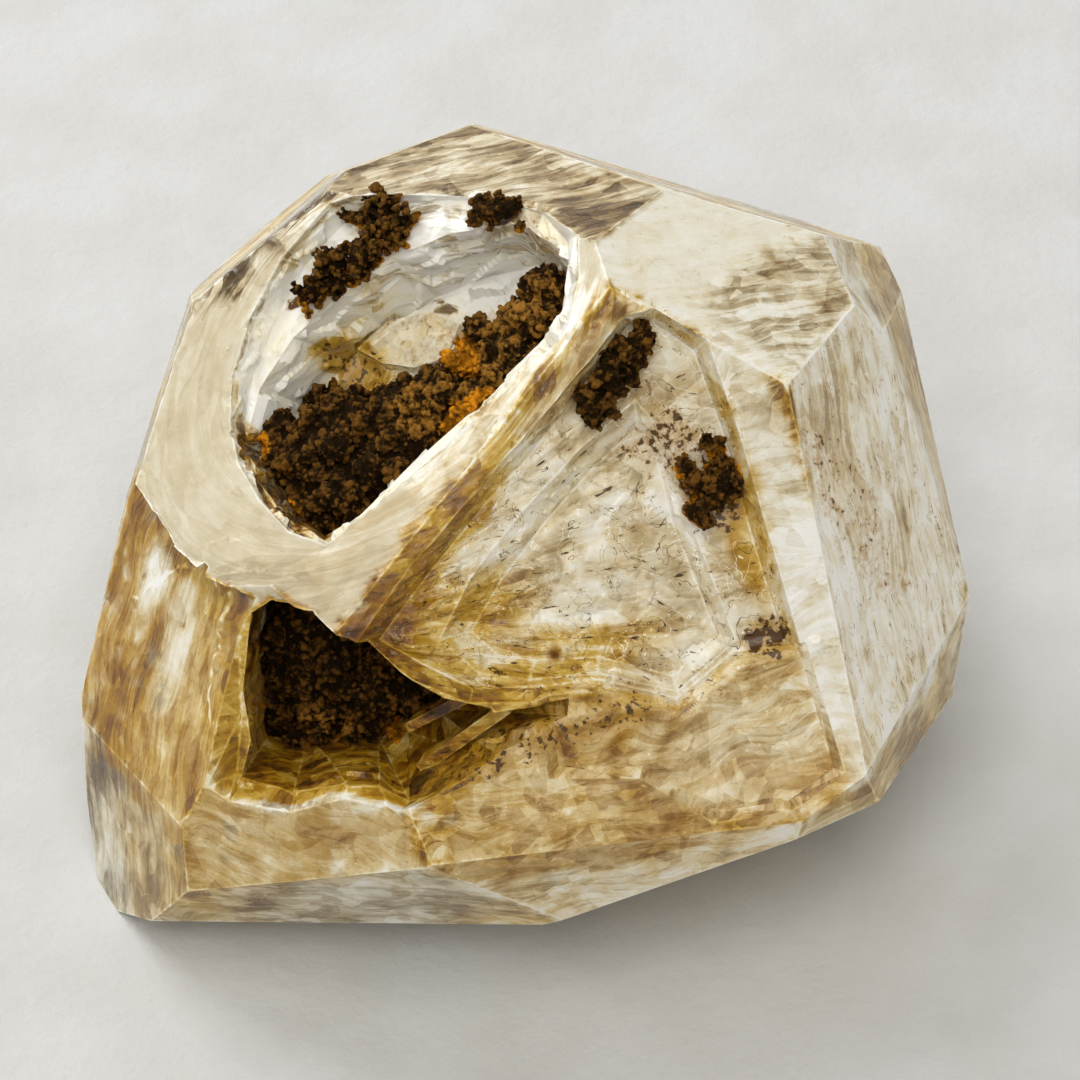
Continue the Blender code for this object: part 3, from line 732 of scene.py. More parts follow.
# How each part of the surface looks: its values and its area. Later rows lie over earlier ones.
PAINT: tuple[tuple[dict[Channel, float], Zone | Spot], ...] = (
    # The lower hollow: gold walls, darker the deeper they lie and near black where the crust sits, brown
    # along the shallow end.
    (look(0.90, 0.46, 1.60, 0.40), Zone(LOWER, POCKET, 3.0, 13.6, 0.3)),
    (look(0.92, 0.35, 1.60, 0.75), Zone(LOWER, POCKET, 3.0, 12.55, 0.3)),
    (look(0.95, 0.02, 1.20, 0.40), Zone(LOWER, ((-9.5, 0.5), (0.6, -1.8), (7.0, -0.5), (1.0, -4.6),
                                                (-8.0, -5.4)), 3.0, 12.3, 0.7)),
    (look(0.90, 0.30, 1.60, 0.90), Zone(LOWER, ((1.0, -8.2), (5.4, -5.0), (15.0, 1.6), (13.0, 1.8),
                                                (4.6, -3.6), (1.4, -6.6)), 3.0, 13.2, 0.5)),
    (look(0.95, 0.60, 1.10, 0.50), Zone(LOWER, ((-0.6, -4.6), (1.2, -6.0), (4.6, -2.0), (3.3, -1.4)),
                                        11.9, 14.2, 0.2)),
    ({Channel.STAIN: 0.60, Channel.TONE: 0.36}, Zone(LOWER, ((-0.4, -8.6), (5.0, -5.6), (10.0, -2.4),
                                                             (8.0, -1.2), (4.0, -3.2), (1.0, -6.0)),
                                                     3.0, 13.2, 1.1)),
    # The lower face round that hollow, the left face and the lip below.
    (look(0.90, 0.54, 0.70, 0.28), Zone(LOWER, EVERYWHERE, 13.9, 14.6, 0.5, 0.9)),
    (look(0.88, 0.44, 0.95, 0.35), Zone(LEFT, EVERYWHERE, *LEFT_LEVELS, 0.5, 0.9)),
    (look(0.95, 0.78, 0.15, 0.40), Spot(LEFT, -4.9, -7.6, 1.6, 3.0, 20.0, *LEFT_LEVELS)),
    (look(0.88, 0.68, 0.35, 0.40), Spot(LEFT, -1.4, -9.0, 1.6, 5.0, 20.0, *LEFT_LEVELS)),
    # A darker, more golden band high on the left face, under the overhanging rim: painted shade over the
    # face's gold.
    (look(0.86, 0.34, 1.30, 0.60), Spot(LEFT, -2.8, -4.6, 5.0, 1.8, 20.0, *LEFT_LEVELS)),
    (look(0.88, 0.72, 0.55, 0.40), Zone(UNDER_LIP, EVERYWHERE, 15.1, 15.8, 0.5, 0.9)),
    # The upper left face: a smooth frosted rim, streaked and clearer towards the outer edge.
    (look(0.97, 0.515, 0.0, 0.10), Zone(UPPER, EVERYWHERE, *RIM_LEVELS, 0.5, 0.7)),
    ({Channel.HAIR: 0.12}, Zone(UPPER, EVERYWHERE, *RIM_LEVELS, 0.5, 0.7)),
    (look(0.80, 0.62, 0.12, 0.45), Zone(UPPER, ((-17.0, -4.0), (-13.6, -3.0), (-13.2, 2.0), (-12.8, 5.0),
                                                (-8.0, 10.5), (-14.5, 10.5)), *RIM_LEVELS, 0.9)),
    (look(0.50, 0.52, 0.30, 0.90), Zone(UPPER, ((-16.5, -1.5), (-13.2, -1.0), (-13.4, 3.0), (-12.6, 6.0),
                                                (-10.5, 9.0), (-15.5, 9.5)), *RIM_LEVELS, 0.7)),
    (look(1.00, 0.56, 0.14, 0.10), Zone(UPPER, ((-1.6, -7.6), (0.6, -7.9), (0.5, -2.3), (-0.2, -1.6),
                                                (-0.7, -4.2)), *RIM_LEVELS, 0.3)),
    # The upper hollow: streaky and clear, bright above the crust, stained beside it.
    (look(1.15, 1.18, 0.48, 0.80), HOLLOW),
    (look(0.95, 1.25, 0.12, 1.10), Spot(UPPER, -8.0, 7.4, 6.0, 3.6, 35.0, *HOLLOW_LEVELS)),
    (look(0.95, 1.25, 0.00, 0.30), Spot(UPPER, -11.4, 1.2, 1.9, 1.1, 75.0, *HOLLOW_LEVELS)),
    (look(0.95, 1.25, 0.00, 0.30), Spot(UPPER, -11.8, 4.2, 1.6, 1.0, 75.0, *HOLLOW_LEVELS)),
    (look(1.00, 1.20, 0.00, 0.05), Spot(UPPER, -8.9, -4.6, 1.9, 1.4, -35.0, 2.0, 10.8)),
    (look(1.05, 0.98, 0.80, 0.10), Zone(UPPER, LENS, *PLATE_LEVELS, 0.12)),
    ({Channel.STAIN: 0.45}, Zone(UPPER, LENS, *PLATE_LEVELS, 0.12)),
    (look(0.95, 0.62, 1.30, 0.50), Spot(UPPER, -9.2, 0.2, 2.8, 1.5, 10.0, 2.0, 9.0)),
    ({Channel.STAIN: 0.6}, Spot(UPPER, -8.8, 0.0, 2.8, 1.5, 10.0, 2.0, 9.0)),
    ({Channel.STAIN: 0.6, Channel.GOLD: 0.6}, Spot(UPPER, -4.6, 5.5, 2.6, 2.2, 60.0, 2.0, 10.0)),
    ({Channel.STAIN: 0.5, Channel.GOLD: 0.6}, Spot(UPPER, -4.4, 9.6, 3.2, 1.8, -20.0, 2.0, 11.0)),
    (look(0.85, 0.16, 0.90, 1.00), Spot(UPPER, -5.0, -6.6, 4.8, 1.1, 0.0, 2.0, 10.9)),
    (look(0.85, 0.16, 0.90, 1.00), Spot(UPPER, -8.3, -5.6, 1.6, 0.7, -35.0, 2.0, 10.9)),
    ({Channel.STAIN: 1.1, Channel.GOLD: 0.8}, Spot(UPPER, -10.9, 5.2, 1.6, 1.2, 30.0, *SHELF_LEVELS)),
    ({Channel.STAIN: 1.0, Channel.GOLD: 0.8}, Spot(UPPER, -10.7, 2.9, 2.0, 1.2, 60.0, *SHELF_LEVELS)),
    ({Channel.STAIN: 1.0, Channel.GOLD: 0.8}, Spot(UPPER, -6.8, 9.4, 1.4, 1.0, 30.0, *SHELF_LEVELS)),
    ({Channel.STAIN: 0.9}, Spot(UPPER, -11.4, 0.9, 1.4, 0.6, 70.0, *SHELF_LEVELS)),
    # The fibrous ridge beside the front face.
    (look(0.97, 0.72, 0.28, 0.45), Zone(UPPER, ((-0.6, -1.8), (1.6, -2.4), (2.4, 5.0), (1.8, 10.5),
                                                (-0.6, 9.6), (0.4, 5.0)), *RIDGE_LEVELS, 0.3)),
    # The top: a smooth cloudy plateau with a clearer end, and a dark clear facet behind.
    (look(0.98, 0.80, 0.06, 0.06), Zone(TOP_RIGHT, EVERYWHERE, *TOP_LEVELS, 0.5, 0.9)),
    (look(0.70, 0.58, 0.25, 0.50), Zone(TOP_RIGHT, ((3.2, 0.8), (11.0, -4.6), (10.5, -11.0), (2.0, -4.5)),
                                        *TOP_LEVELS, 0.7)),
    (look(0.72, 0.47, 0.22, 0.50), Zone(TOP_FACET, EVERYWHERE, 15.3, 16.0, 0.5, 0.9)),
    # The right face, striated and speckled.
    (look(0.90, 0.84, 0.25, 0.36), Zone(RIGHT, EVERYWHERE, *RIGHT_LEVELS, 0.5, 0.9)),
    ({Channel.HAIR: 1.2}, Zone(RIGHT, EVERYWHERE, *RIGHT_LEVELS, 0.5, 0.9)),
    ({Channel.STAIN: 0.5}, Zone(RIGHT, ((1.0, 4.0), (4.5, 3.0), (6.0, -2.0), (4.0, -9.0), (1.0, -7.0)),
                                *RIGHT_LEVELS, 1.6)),
    # The front face and its recess: beige, gold in the lower left, hairlines in the middle.
    (look(0.84, 0.50, 1.00, 0.70), Zone(FRONT, EVERYWHERE, 9.4, 10.0, 0.5, 0.8)),
    (look(0.86, 0.50, 0.78, 0.44), Zone(FRONT, ((-4.0, -5.4), (9.0, -5.4), (10.4, -12.8), (-10.0, -14.0)),
                                        *TERRACE_LEVELS, 0.5)),
    (look(0.84, 0.51, 0.58, 0.42), Spot(FRONT, 5.4, -9.6, 6.0, 3.6, -10.0, *TERRACE_LEVELS)),
    (look(0.92, 0.78, 0.15, 0.32), Zone(FRONT, ((6.8, 8.5), (8.6, 9.6), (13.0, -10.5), (10.4, -13.0),
                                                (8.6, -5.0)), 9.0, 10.0, 0.5)),
    (look(0.97, 0.68, 0.80, 0.45), Zone(FRONT, RECESS, *LEDGE_LEVELS, 0.2)),
    (look(0.90, 0.68, 0.26, 0.38), Zone(FRONT, RECESS, 7.4, 8.75, 0.2)),
    (look(0.98, 0.92, 0.35, 0.20), Zone(FRONT, WINDOW, 7.78, 8.32, 0.3)),
    ({Channel.HAIR: 1.7}, Zone(FRONT, RECESS, *LEDGE_LEVELS, 0.6)),
    (look(0.90, 0.56, 1.10, 0.50), Spot(FRONT, -6.4, -1.8, 6.0, 3.0, 10.0, *SUNK_LEVELS)),
    (look(0.95, 0.62, 1.10, 0.60), Spot(FRONT, -1.6, -4.2, 7.0, 1.9, 5.0, *SUNK_LEVELS)),
    (look(0.94, 0.19, 1.60, 0.25), Spot(FRONT, -8.8, -1.0, 3.0, 1.6, 35.0, *SUNK_LEVELS)),
    (look(0.95, 0.44, 1.50, 0.45), Spot(FRONT, -5.6, 2.2, 6.0, 1.5, 40.0, 7.4, 10.2)),
    (look(0.95, 0.60, 0.50, 0.45), Spot(FRONT, 1.4, 8.0, 5.4, 1.5, 40.0, 7.4, 10.2)),
    ({Channel.STAIN: 0.72}, Spot(FRONT, 6.4, 2.0, 2.2, 3.4, 10.0, *SUNK_LEVELS)),
    ({Channel.STAIN: 0.62}, Spot(FRONT, 4.6, 4.4, 3.0, 2.4, 20.0, *SUNK_LEVELS)),
    ({Channel.STAIN: 0.75}, Spot(FRONT, 7.6, -4.8, 1.6, 1.6, 0.0, *SUNK_LEVELS)),
    ({Channel.GOLD: 1.0, Channel.TONE: 0.6}, Spot(FRONT, 7.6, 0.0, 1.2, 5.0, 4.0, *SUNK_LEVELS)),
)

# Thin dark and pale lines drawn on the surface.
DARK_LINES = (
    Trace(UPPER, LENS[:5], 6.6, 8.2),
    Trace(UPPER, ((-10.2, 8.5), (-8.0, 9.6), (-5.4, 11.0), (-3.0, 12.0), (-1.7, 12.4)), 10.0, 12.0),
    Trace(UPPER, ((-10.2, 8.5), (-8.0, 9.0), (-5.4, 10.2), (-3.4, 10.9)), 10.0, 12.0),
)
PALE_LINES = (
    Trace(LOWER, ((-9.5, -1.0), (-9.3, -6.6), (-8.4, -8.2), (-8.2, -9.6), (-5.2, -10.2), (-1.6, -9.6)),
          11.4, 13.4),
    Trace(UPPER, ((-11.6, -1.2), (-9.6, -2.6), (-8.0, -4.2), (-6.2, -5.6)), 6.0, 11.0),
    Trace(LEFT, ((-5.4, -9.6), (-3.6, -5.6), (-1.0, -4.4)), 14.4, 15.0),
)

GRAIN_BY_FACING: tuple[tuple[Facing, float, float], ...] = (
    # Facing, its level, and the way its streaks run, in degrees from level.
    (RIGHT, 14.1, 239.8),
    (TOP_RIGHT, 14.5, -52.0),
    (LEFT, 14.7, -64.0),
    (LOWER, 11.0, 28.0),
    (TOP_FACET, 15.6, 10.0),
)


@dataclass
class QuartzCrystal:
    """The crystal: a finer copy of its solid with worked surfaces and painted zones."""

    node: str = "quartz_crystal"
    fine_edge: float = 0.26
    close_edge: float = 0.42
    far_edge: float = 0.95
    passes: int = 11
    tidy_passes: int = 7
    fold_angle: float = 11.0
    fold_step: float = 0.12
    smooth_angle: float = 14.0
    unevenness: float = 0.03
    ray_height: float = 0.10
    step_height: float = 0.11
    blade_height: float = 0.12
    shard_height: float = 0.16
    waver: float = 0.26
    sway: float = 0.9
    face_sway: float = 0.5
    grain_scale: tuple[float, float] = (1.5, 0.8)
    swirl_middle: tuple[float, float] = (-6.5, 2.0)
    fan_middle: tuple[float, float] = (-13.0, -1.0)
    striation: float = 0.05
    facet_size: float = 1.5
    facet_height: float = 0.42
    ledge_height: float = 0.16
    chip: float = 0.16
    fibre: float = 0.16
    rough: Roughness = field(default_factory=lambda: Roughness(SEED))

    def build(self, material: bpy.types.Material) -> bpy.types.Object:
        """Makes and dresses the crystal.

        Args:
            material: The quartz finish.

        Returns:
            The finished piece.
        """
        piece = copied(self.node, "quartz")
        folds = self.folds(piece)
        self.refine(piece)
        points = read(piece)
        near_fold = self.distance_to(folds, points)
        moved = points + read(piece, "normal") * self.relief(points, near_fold)[:, None]
        moved[:, 2] = np.maximum(moved[:, 2], 0.0)
        write(piece, moved)
        only(piece)
        bpy.ops.object.shade_smooth_by_angle(angle=math.radians(self.smooth_angle))
        self.paint(piece, points, near_fold)
        self.lay_grain(piece, points)
        finish_piece(piece, self.node, material)
        return piece

    def folds(self, piece: bpy.types.Object) -> Points:
        """Returns points, in millimetres, along every edge where the solid's faces fold."""
        mesh = piece.data
        normals: dict[tuple[int, int], list[Vector]] = {}
        for face in mesh.polygons:
            for pair in face.edge_keys:
                normals.setdefault(pair, []).append(face.normal.copy())
        limit = math.cos(math.radians(self.fold_angle))
        found = []
        for (a, b), (one, other, *_) in ((k, v) for k, v in normals.items() if len(v) > 1):
            if one.dot(other) < limit:
                start, end = mesh.vertices[a].co / MM, mesh.vertices[b].co / MM
                steps = max(2, int((end - start).length / self.fold_step))
                found.extend(start.lerp(end, i / steps) for i in range(steps + 1))
        return np.array(found)

    @staticmethod
    def distance_to(targets: Points, points: Points) -> Values:
        """Returns each point's distance to the nearest target."""
        tree = kdtree.KDTree(len(targets))
        for i, target in enumerate(targets):
            tree.insert(target, i)
        tree.balance()
        return np.array([tree.find(point)[2] for point in points])

    def longest(self, points: Points) -> Values:
        """Returns the longest edge allowed at each point: shorter where the hollows and stains are."""
        towards = (points - CENTRE) @ np.array((-0.1, -0.64, 0.76))
        longest = np.where(towards > 2.0, self.close_edge, self.far_edge)
        for area in (Zone(UPPER, SHELF, 2.0, 12.0, 0.8), Zone(FRONT, RECESS, 6.0, 10.2, 0.5)):
            longest = np.where(area.mask(points) > 0.01, self.fine_edge, longest)
        return longest

    def refine(self, piece: bpy.types.Object) -> None:
        """Splits the long edges, pass by pass, and keeps the shape."""
        bpy.context.tool_settings.mesh_select_mode = (False, True, False)
        for turn in range(self.passes):
            mesh = piece.data
            points = read(piece)
            ends = np.empty(len(mesh.edges) * 2, np.int32)
            mesh.edges.foreach_get("vertices", ends)
            a, b = points[ends[::2]], points[ends[1::2]]
            long = np.linalg.norm(a - b, axis=1) > self.longest((a + b) / 2.0)
            if not long.any():
                break
            only(piece)
            bpy.ops.object.mode_set(mode="EDIT")
            bpy.ops.mesh.select_all(action="DESELECT")
            bpy.ops.object.mode_set(mode="OBJECT")
            piece.data.edges.foreach_set("select", long)
            bpy.ops.object.mode_set(mode="EDIT")
            bpy.ops.mesh.subdivide(number_cuts=1)
            bpy.ops.mesh.select_all(action="SELECT")
            bpy.ops.mesh.quads_convert_to_tris(quad_method="SHORTEST_DIAGONAL", ngon_method="BEAUTY")
            if turn < self.tidy_passes:
                bpy.ops.mesh.beautify_fill(angle_limit=math.radians(1.0))
            bpy.ops.object.mode_set(mode="OBJECT")

    def relief(self, points: Points, near_fold: Values) -> Values:
        """Returns how far each point moves outwards, in millimetres."""
        rough = self.rough
        calm = ease(0.0, 0.5, near_fold)
        total = self.unevenness * rough.layered(points * 0.7, 3) * calm

        upper, front, right = UPPER.local(points), FRONT.local(points), RIGHT.local(points)
        hollow = HOLLOW.mask(points)
        cells = upper / np.array((self.facet_size, self.facet_size * 1.7, self.facet_size))
        total += hollow * calm * self.facet_height * rough.facets(cells)

        recess = Zone(FRONT, RECESS, 6.0, 9.3, 0.3).mask(points)
        du, dv = front[:, 0] + 10.5, front[:, 1] + 0.5
        spread, fan = np.hypot(du, dv), np.degrees(np.arctan2(dv, du))
        rays = columns(spread * 0.22, fan * 0.16, front[:, 2] * 0.3)
        total += recess * calm * self.ray_height * rough.layered(rays, 4, 0.6)
        total += recess * calm * self.step_height * rough.facets(front * 0.75 + 31.0)

        waves = rough.layered(columns(front[:, 0] * 0.25, front[:, 1] * 0.9, front[:, 2] * 0.2), 4, 0.55)
        total += STEPPED.mask(points) * calm * self.ledge_height * (np.abs(waves) - 0.35)

        striated = Zone(RIGHT, EVERYWHERE, *RIGHT_LEVELS).mask(points)
        along = right[:, 0] * -0.50 + right[:, 1] * -0.86
        across = right[:, 0] * 0.86 - right[:, 1] * 0.50
        lines = rough.layered(columns(along * 0.35, across * 2.2, right[:, 2] * 0.2), 3, 0.6)
        total += striated * calm * self.striation * lines

        ridge = Zone(UPPER, ((-0.6, -1.8), (2.2, -2.4), (3.0, 5.0), (2.2, 10.5), (-0.6, 9.6), (0.4, 5.0)),
                     8.0, 12.0, 0.4).mask(points)
        twist = upper[:, 0] + 0.25 * upper[:, 1]
        strands = rough.layered(columns(twist * 1.9, upper[:, 1] * 0.22, upper[:, 2] * 1.2), 2, 0.6)
        total += ridge * self.fibre * strands

        lip = Zone(UPPER, EVERYWHERE, 10.0, 12.0).mask(points) * (1.0 - ease(0.0, 0.6, near_fold))
        total += lip * self.chip * np.minimum(rough.layered(points * 1.1 + 5.0, 3, 0.6), 0.1)

        pocket = Zone(LOWER, ((-11.0, 0.5), (15.0, 1.6), (0.8, -8.0), (-8.0, -10.4)), 3.0, 12.7, 0.3)
        lower = LOWER.local(points)
        along = lower[:, 0] * 0.88 + lower[:, 1] * 0.47
        across = lower[:, 1] * 0.88 - lower[:, 0] * 0.47
        blades = columns(along * 0.3, across * 1.1, lower[:, 2] * 0.7)
        bladed = self.blade_height * rough.layered(blades, 3, 0.6)
        total += pocket.mask(points) * calm * (bladed + self.shard_height * rough.facets(blades + 3.0))
        return total

    def paint(self, piece: bpy.types.Object, points: Points, near_fold: Values) -> None:
        """Keeps each channel's value at each point."""
        drift = self.rough.layered(points * 0.35 + 60.0, 3, 0.6)
        normals = read(piece, "normal")
        values = {channel: np.zeros(len(points)) for channel in Channel}
        values[Channel.CLOUD] = 0.66 + 0.30 * drift
        values[Channel.TONE] = 0.62 + 0.12 * drift
        values[Channel.GOLD] = np.clip(0.42 + 0.6 * self.rough.layered(points * 0.2 + 9.0, 2), 0.0, 1.0)
        values[Channel.BUSY] += 0.33
        values[Channel.HAIR] += 0.3
        values[Channel.FOLD] = np.minimum(near_fold, 2.0)
        bend = self.rough.wander(points * 0.4, (2, 43, 89), 1, 0.5)
        values[Channel.BLOTCH] = np.clip(1.6 * self.rough.layered(points * 0.33 + bend, 3, 0.6), -1.0, 1.0)
        # On the stepped terrace the folds count as farther away, which weakens the painted fold highlight
        # there.
        stepped = STEPPED.mask(points)
        values[Channel.FOLD] = np.minimum(values[Channel.FOLD] + stepped * (0.2 + 0.2 * drift), 2.0)
        points = points + self.waver * self.rough.wander(points, (5, 37, 71), 3, 0.6)
        for channel, drawn in ((Channel.DARK, DARK_LINES), (Channel.PALE, PALE_LINES)):
            values[channel] = np.minimum(2.0, np.min([line.distance(points) for line in drawn], axis=0))
        for amounts, area in PAINT:
            mask = area.mask(points, normals)
            for channel, amount in amounts.items():
                values[channel] = values[channel] * (1.0 - mask) + amount * mask
        for channel, held in values.items():
            keep_values(piece, channel.value, held)

    def lay_grain(self, piece: bpy.types.Object, points: Points) -> None:
        """Stores, at each face corner, coordinates whose first axis runs along the streaks there."""
        mesh = piece.data
        count = len(mesh.polygons)
        corner_face = np.repeat(np.arange(count), 3)
        corner_point = np.empty(len(mesh.loops), np.int32)
        mesh.loops.foreach_get("vertex_index", corner_point)
        places = points[corner_point]
        first, second, third = places[::3], places[1::3], places[2::3]
        middles = (first + second + third) / 3.0
        normals = np.cross(second - first, third - first)
        normals /= np.linalg.norm(normals, axis=1)[:, None] + 1e-12

        # By default the first axis runs level, and each direction of face reads its own part of the pattern.
        sway = self.rough.wander(places * 0.3, (17, 51, 83), 2, 0.5)
        level = np.cross((0.0, 0.0, 1.0), normals)
        level /= np.linalg.norm(level, axis=1)[:, None] + 1e-9
        slope = np.cross(normals, level)
        out = np.round(normals * 8.0) * 1.7
        bent = places + sway * self.sway
        along, across, through = (np.sum(bent * way[corner_face], 1) for way in (level, slope, normals))
        grain = columns(along * self.grain_scale[0], across * self.grain_scale[1], through) + out[corner_face]

        # Round the upper hollow it circles the hollow's middle.
        upper = UPPER.local(middles)
        facing_up = (upper[:, 2] > 3.0) & (normals @ UPPER.axes()[2] > 0.3)
        found = (facing_up & (depth_in(SHELF, upper[:, :2]) > -6.0))[corner_face]
        local = UPPER.local(places[found])
        du, dv = local[:, 0] - self.swirl_middle[0], local[:, 1] - self.swirl_middle[1]
        grain[found] = columns(np.arctan2(dv, du) * 7.0, np.hypot(du, dv * 0.75), local[:, 2]) + 100.0

        # In the sunken front face it fans out from beyond the left end.
        front = FRONT.local(middles)
        facing_front = (front[:, 2] > 6.5) & (normals @ FRONT.axes()[2] > 0.2)
        found = (facing_front & (depth_in(RECESS, front[:, :2]) > 0.0))[corner_face]
        local = FRONT.local(places[found])
        du, dv = local[:, 0] - self.fan_middle[0], local[:, 1] - self.fan_middle[1]
        grain[found] = columns(np.hypot(du, dv), np.arctan2(dv, du) * 8.0, local[:, 2]) + 200.0

        for facing, height, turn in GRAIN_BY_FACING:
            aligned = normals @ facing.axes()[2] > 0.93
            found = (aligned & (np.abs(facing.local(middles)[:, 2] - height) < 3.0))[corner_face]
            u, v, depth = facing.local(places[found] + sway[found] * self.face_sway).T
            c, s = math.cos(math.radians(turn)), math.sin(math.radians(turn))
            grain[found] = columns(u * c + v * s, v * c - u * s, depth) + height * 3.0

        held = mesh.attributes.new("grain", "FLOAT_VECTOR", "CORNER")
        held.data.foreach_set("vector", grain.astype(np.float32).ravel())


# ----- The crusts -----


@dataclass
class EarthyCrust:
    """One crust: its solid heaped with clods, and the clods with grains, melted into one skin."""

    node: str
    facing: Facing
    floor: float
    # Spots where the painted tan highlight on the grain crowns is stronger.
    light: tuple[Spot, ...] = ()
    ochre: tuple[Spot, ...] = ()
    cell: float = 0.07
    clod: float = 0.45
    clods: float = 1.4
    grain: float = 0.11
    grains: float = 26.0
    spread: float = 0.25
    grain_spread: float = 0.06
    grit_height: float = 0.12
    levelling: int = 24
    rim: float = 1.0
    bare: tuple[Spot, ...] = ()
    rough: Roughness = field(default_factory=lambda: Roughness(SEED + 7))

    def build(self, material: bpy.types.Material) -> bpy.types.Object:
        """Makes and dresses the crust.

        Args:
            material: The crust finish.

        Returns:
            The finished piece.
        """
        piece = copied(self.node, self.node.replace("crust", "grains"))
        draw = np.random.default_rng(SEED + sum(map(ord, self.node)))
        fine = self.cell * 1.0
        self.heap(piece, draw, self.clod, self.clods, self.spread, self.cell * 2.0)
        self.heap(piece, draw, self.grain, self.grains, self.grain_spread, fine)
        points, normals = read(piece), read(piece, "normal")
        points += normals * (self.rough.layered(points / 0.3, 4, 0.62) * self.grit_height)[:, None]
        only(piece)
        bpy.ops.object.mode_set(mode="EDIT")
        bpy.ops.mesh.select_all(action="SELECT")
        bpy.ops.mesh.vertices_smooth(factor=0.5, repeat=self.levelling)
        bpy.ops.object.mode_set(mode="OBJECT")
        above = np.sum((points - read(piece)) * normals, axis=1)
        write(piece, points)
        # Height above the smoothed skin: low in the crevices, which the finish paints with shade, and high on
        # the crowns, which it paints with a highlight.
        keep_values(piece, "height", np.clip(0.5 + 3.5 * above, 0.0, 1.0))
        keep_values(piece, "ochre", self.thin_edges(points))
        # Where the painted highlight on the crowns is stronger.
        keep_values(piece, "light", self.spots(points, self.light))
        only(piece)
        bpy.ops.object.shade_smooth()
        finish_piece(piece, self.node, material)
        return piece

    def heap(self, piece: bpy.types.Object, draw: np.random.Generator, radius: float, crowd: float,
             spread: float, cell: float) -> None:
        """Scatters balls over the piece's surface and melts them and the piece into one skin.

        Args:
            piece: The crust so far.
            draw: Where the scatter's numbers come from.
            radius: A ball's middle radius, in millimetres.
            crowd: How many balls lie on a square millimetre.
            spread: How far a ball may stray sideways, in millimetres.
            cell: The skin's fineness, in millimetres.
        """
        mesh = piece.data
        mesh.calc_loop_triangles()
        corners = np.empty(len(mesh.loop_triangles) * 3, np.int32)
        mesh.loop_triangles.foreach_get("vertices", corners)
        a, b, c = (read(piece)[corners[i::3]] for i in range(3))
        faces = np.cross(b - a, c - a)
        area = np.linalg.norm(faces, axis=1) / 2.0
        count = int(area.sum() * crowd)
        picked = draw.choice(len(area), count, p=area / area.sum())
        s, t = np.sqrt(draw.random(count)), draw.random(count)
        shares = ((1.0 - s)[:, None], (s * (1.0 - t))[:, None], (s * t)[:, None])
        middles = a[picked] * shares[0] + b[picked] * shares[1] + c[picked] * shares[2]
        out = faces[picked] / (2.0 * area[picked])[:, None]
        sizes = radius * draw.uniform(0.45, 1.0, count) ** 1.5 * 1.6
        level, slope, _ = self.facing.axes()
        stray = draw.normal(0.0, spread, (count, 2))
        sunk = (sizes * draw.uniform(-0.6, 0.2, count))[:, None]
        middles += stray[:, :1] * level + stray[:, 1:] * slope + out * sunk
        kept = self.spots(middles, self.bare) < 0.5
        middles, sizes, count = middles[kept], sizes[kept], int(kept.sum())

        ball = bmesh.new()
        bmesh.ops.create_icosphere(ball, subdivisions=1, radius=1.0)
        shape = np.array([v.co[:] for v in ball.verts])
        sides = np.array([[v.index for v in face.verts] for face in ball.faces])
        ball.free()
        squash = draw.uniform(0.75, 1.2, (count, 1, 3))
        points = (middles[:, None] + shape[None] * squash * sizes[:, None, None]).reshape(-1, 3)
        faces = (sides[None] + (np.arange(count) * len(shape))[:, None, None]).reshape(-1, 3)
        scatter = bpy.data.meshes.new("scatter")
        scatter.from_pydata((points * MM).tolist(), [], faces.tolist())
        if self.bare:
            mesh.clear_geometry()
        heaped = bpy.data.objects.new("scatter", scatter)
        bpy.context.scene.collection.objects.link(heaped)
        only(piece)
        heaped.select_set(True)
        bpy.ops.object.join()
        piece.data.remesh_voxel_size = cell * MM
        bpy.ops.object.voxel_remesh()

    def thin_edges(self, points: Points) -> Values:
        """Returns how ochre each point is: most where the crust thins out towards its floor."""
        level = self.facing.local(points)[:, 2]
        low = 1.0 - ease(self.floor, self.floor + self.rim, level)
        return np.clip(np.maximum(low * 0.9, self.spots(points, self.ochre)), 0.0, 1.0)

    @staticmethod
    def spots(points: Points, areas: Sequence[Spot]) -> Values:
        """Returns the strongest of the areas at each point."""
        found = np.zeros(len(points))
        for area in areas:
            found = np.maximum(found, area.mask(points))
        return found


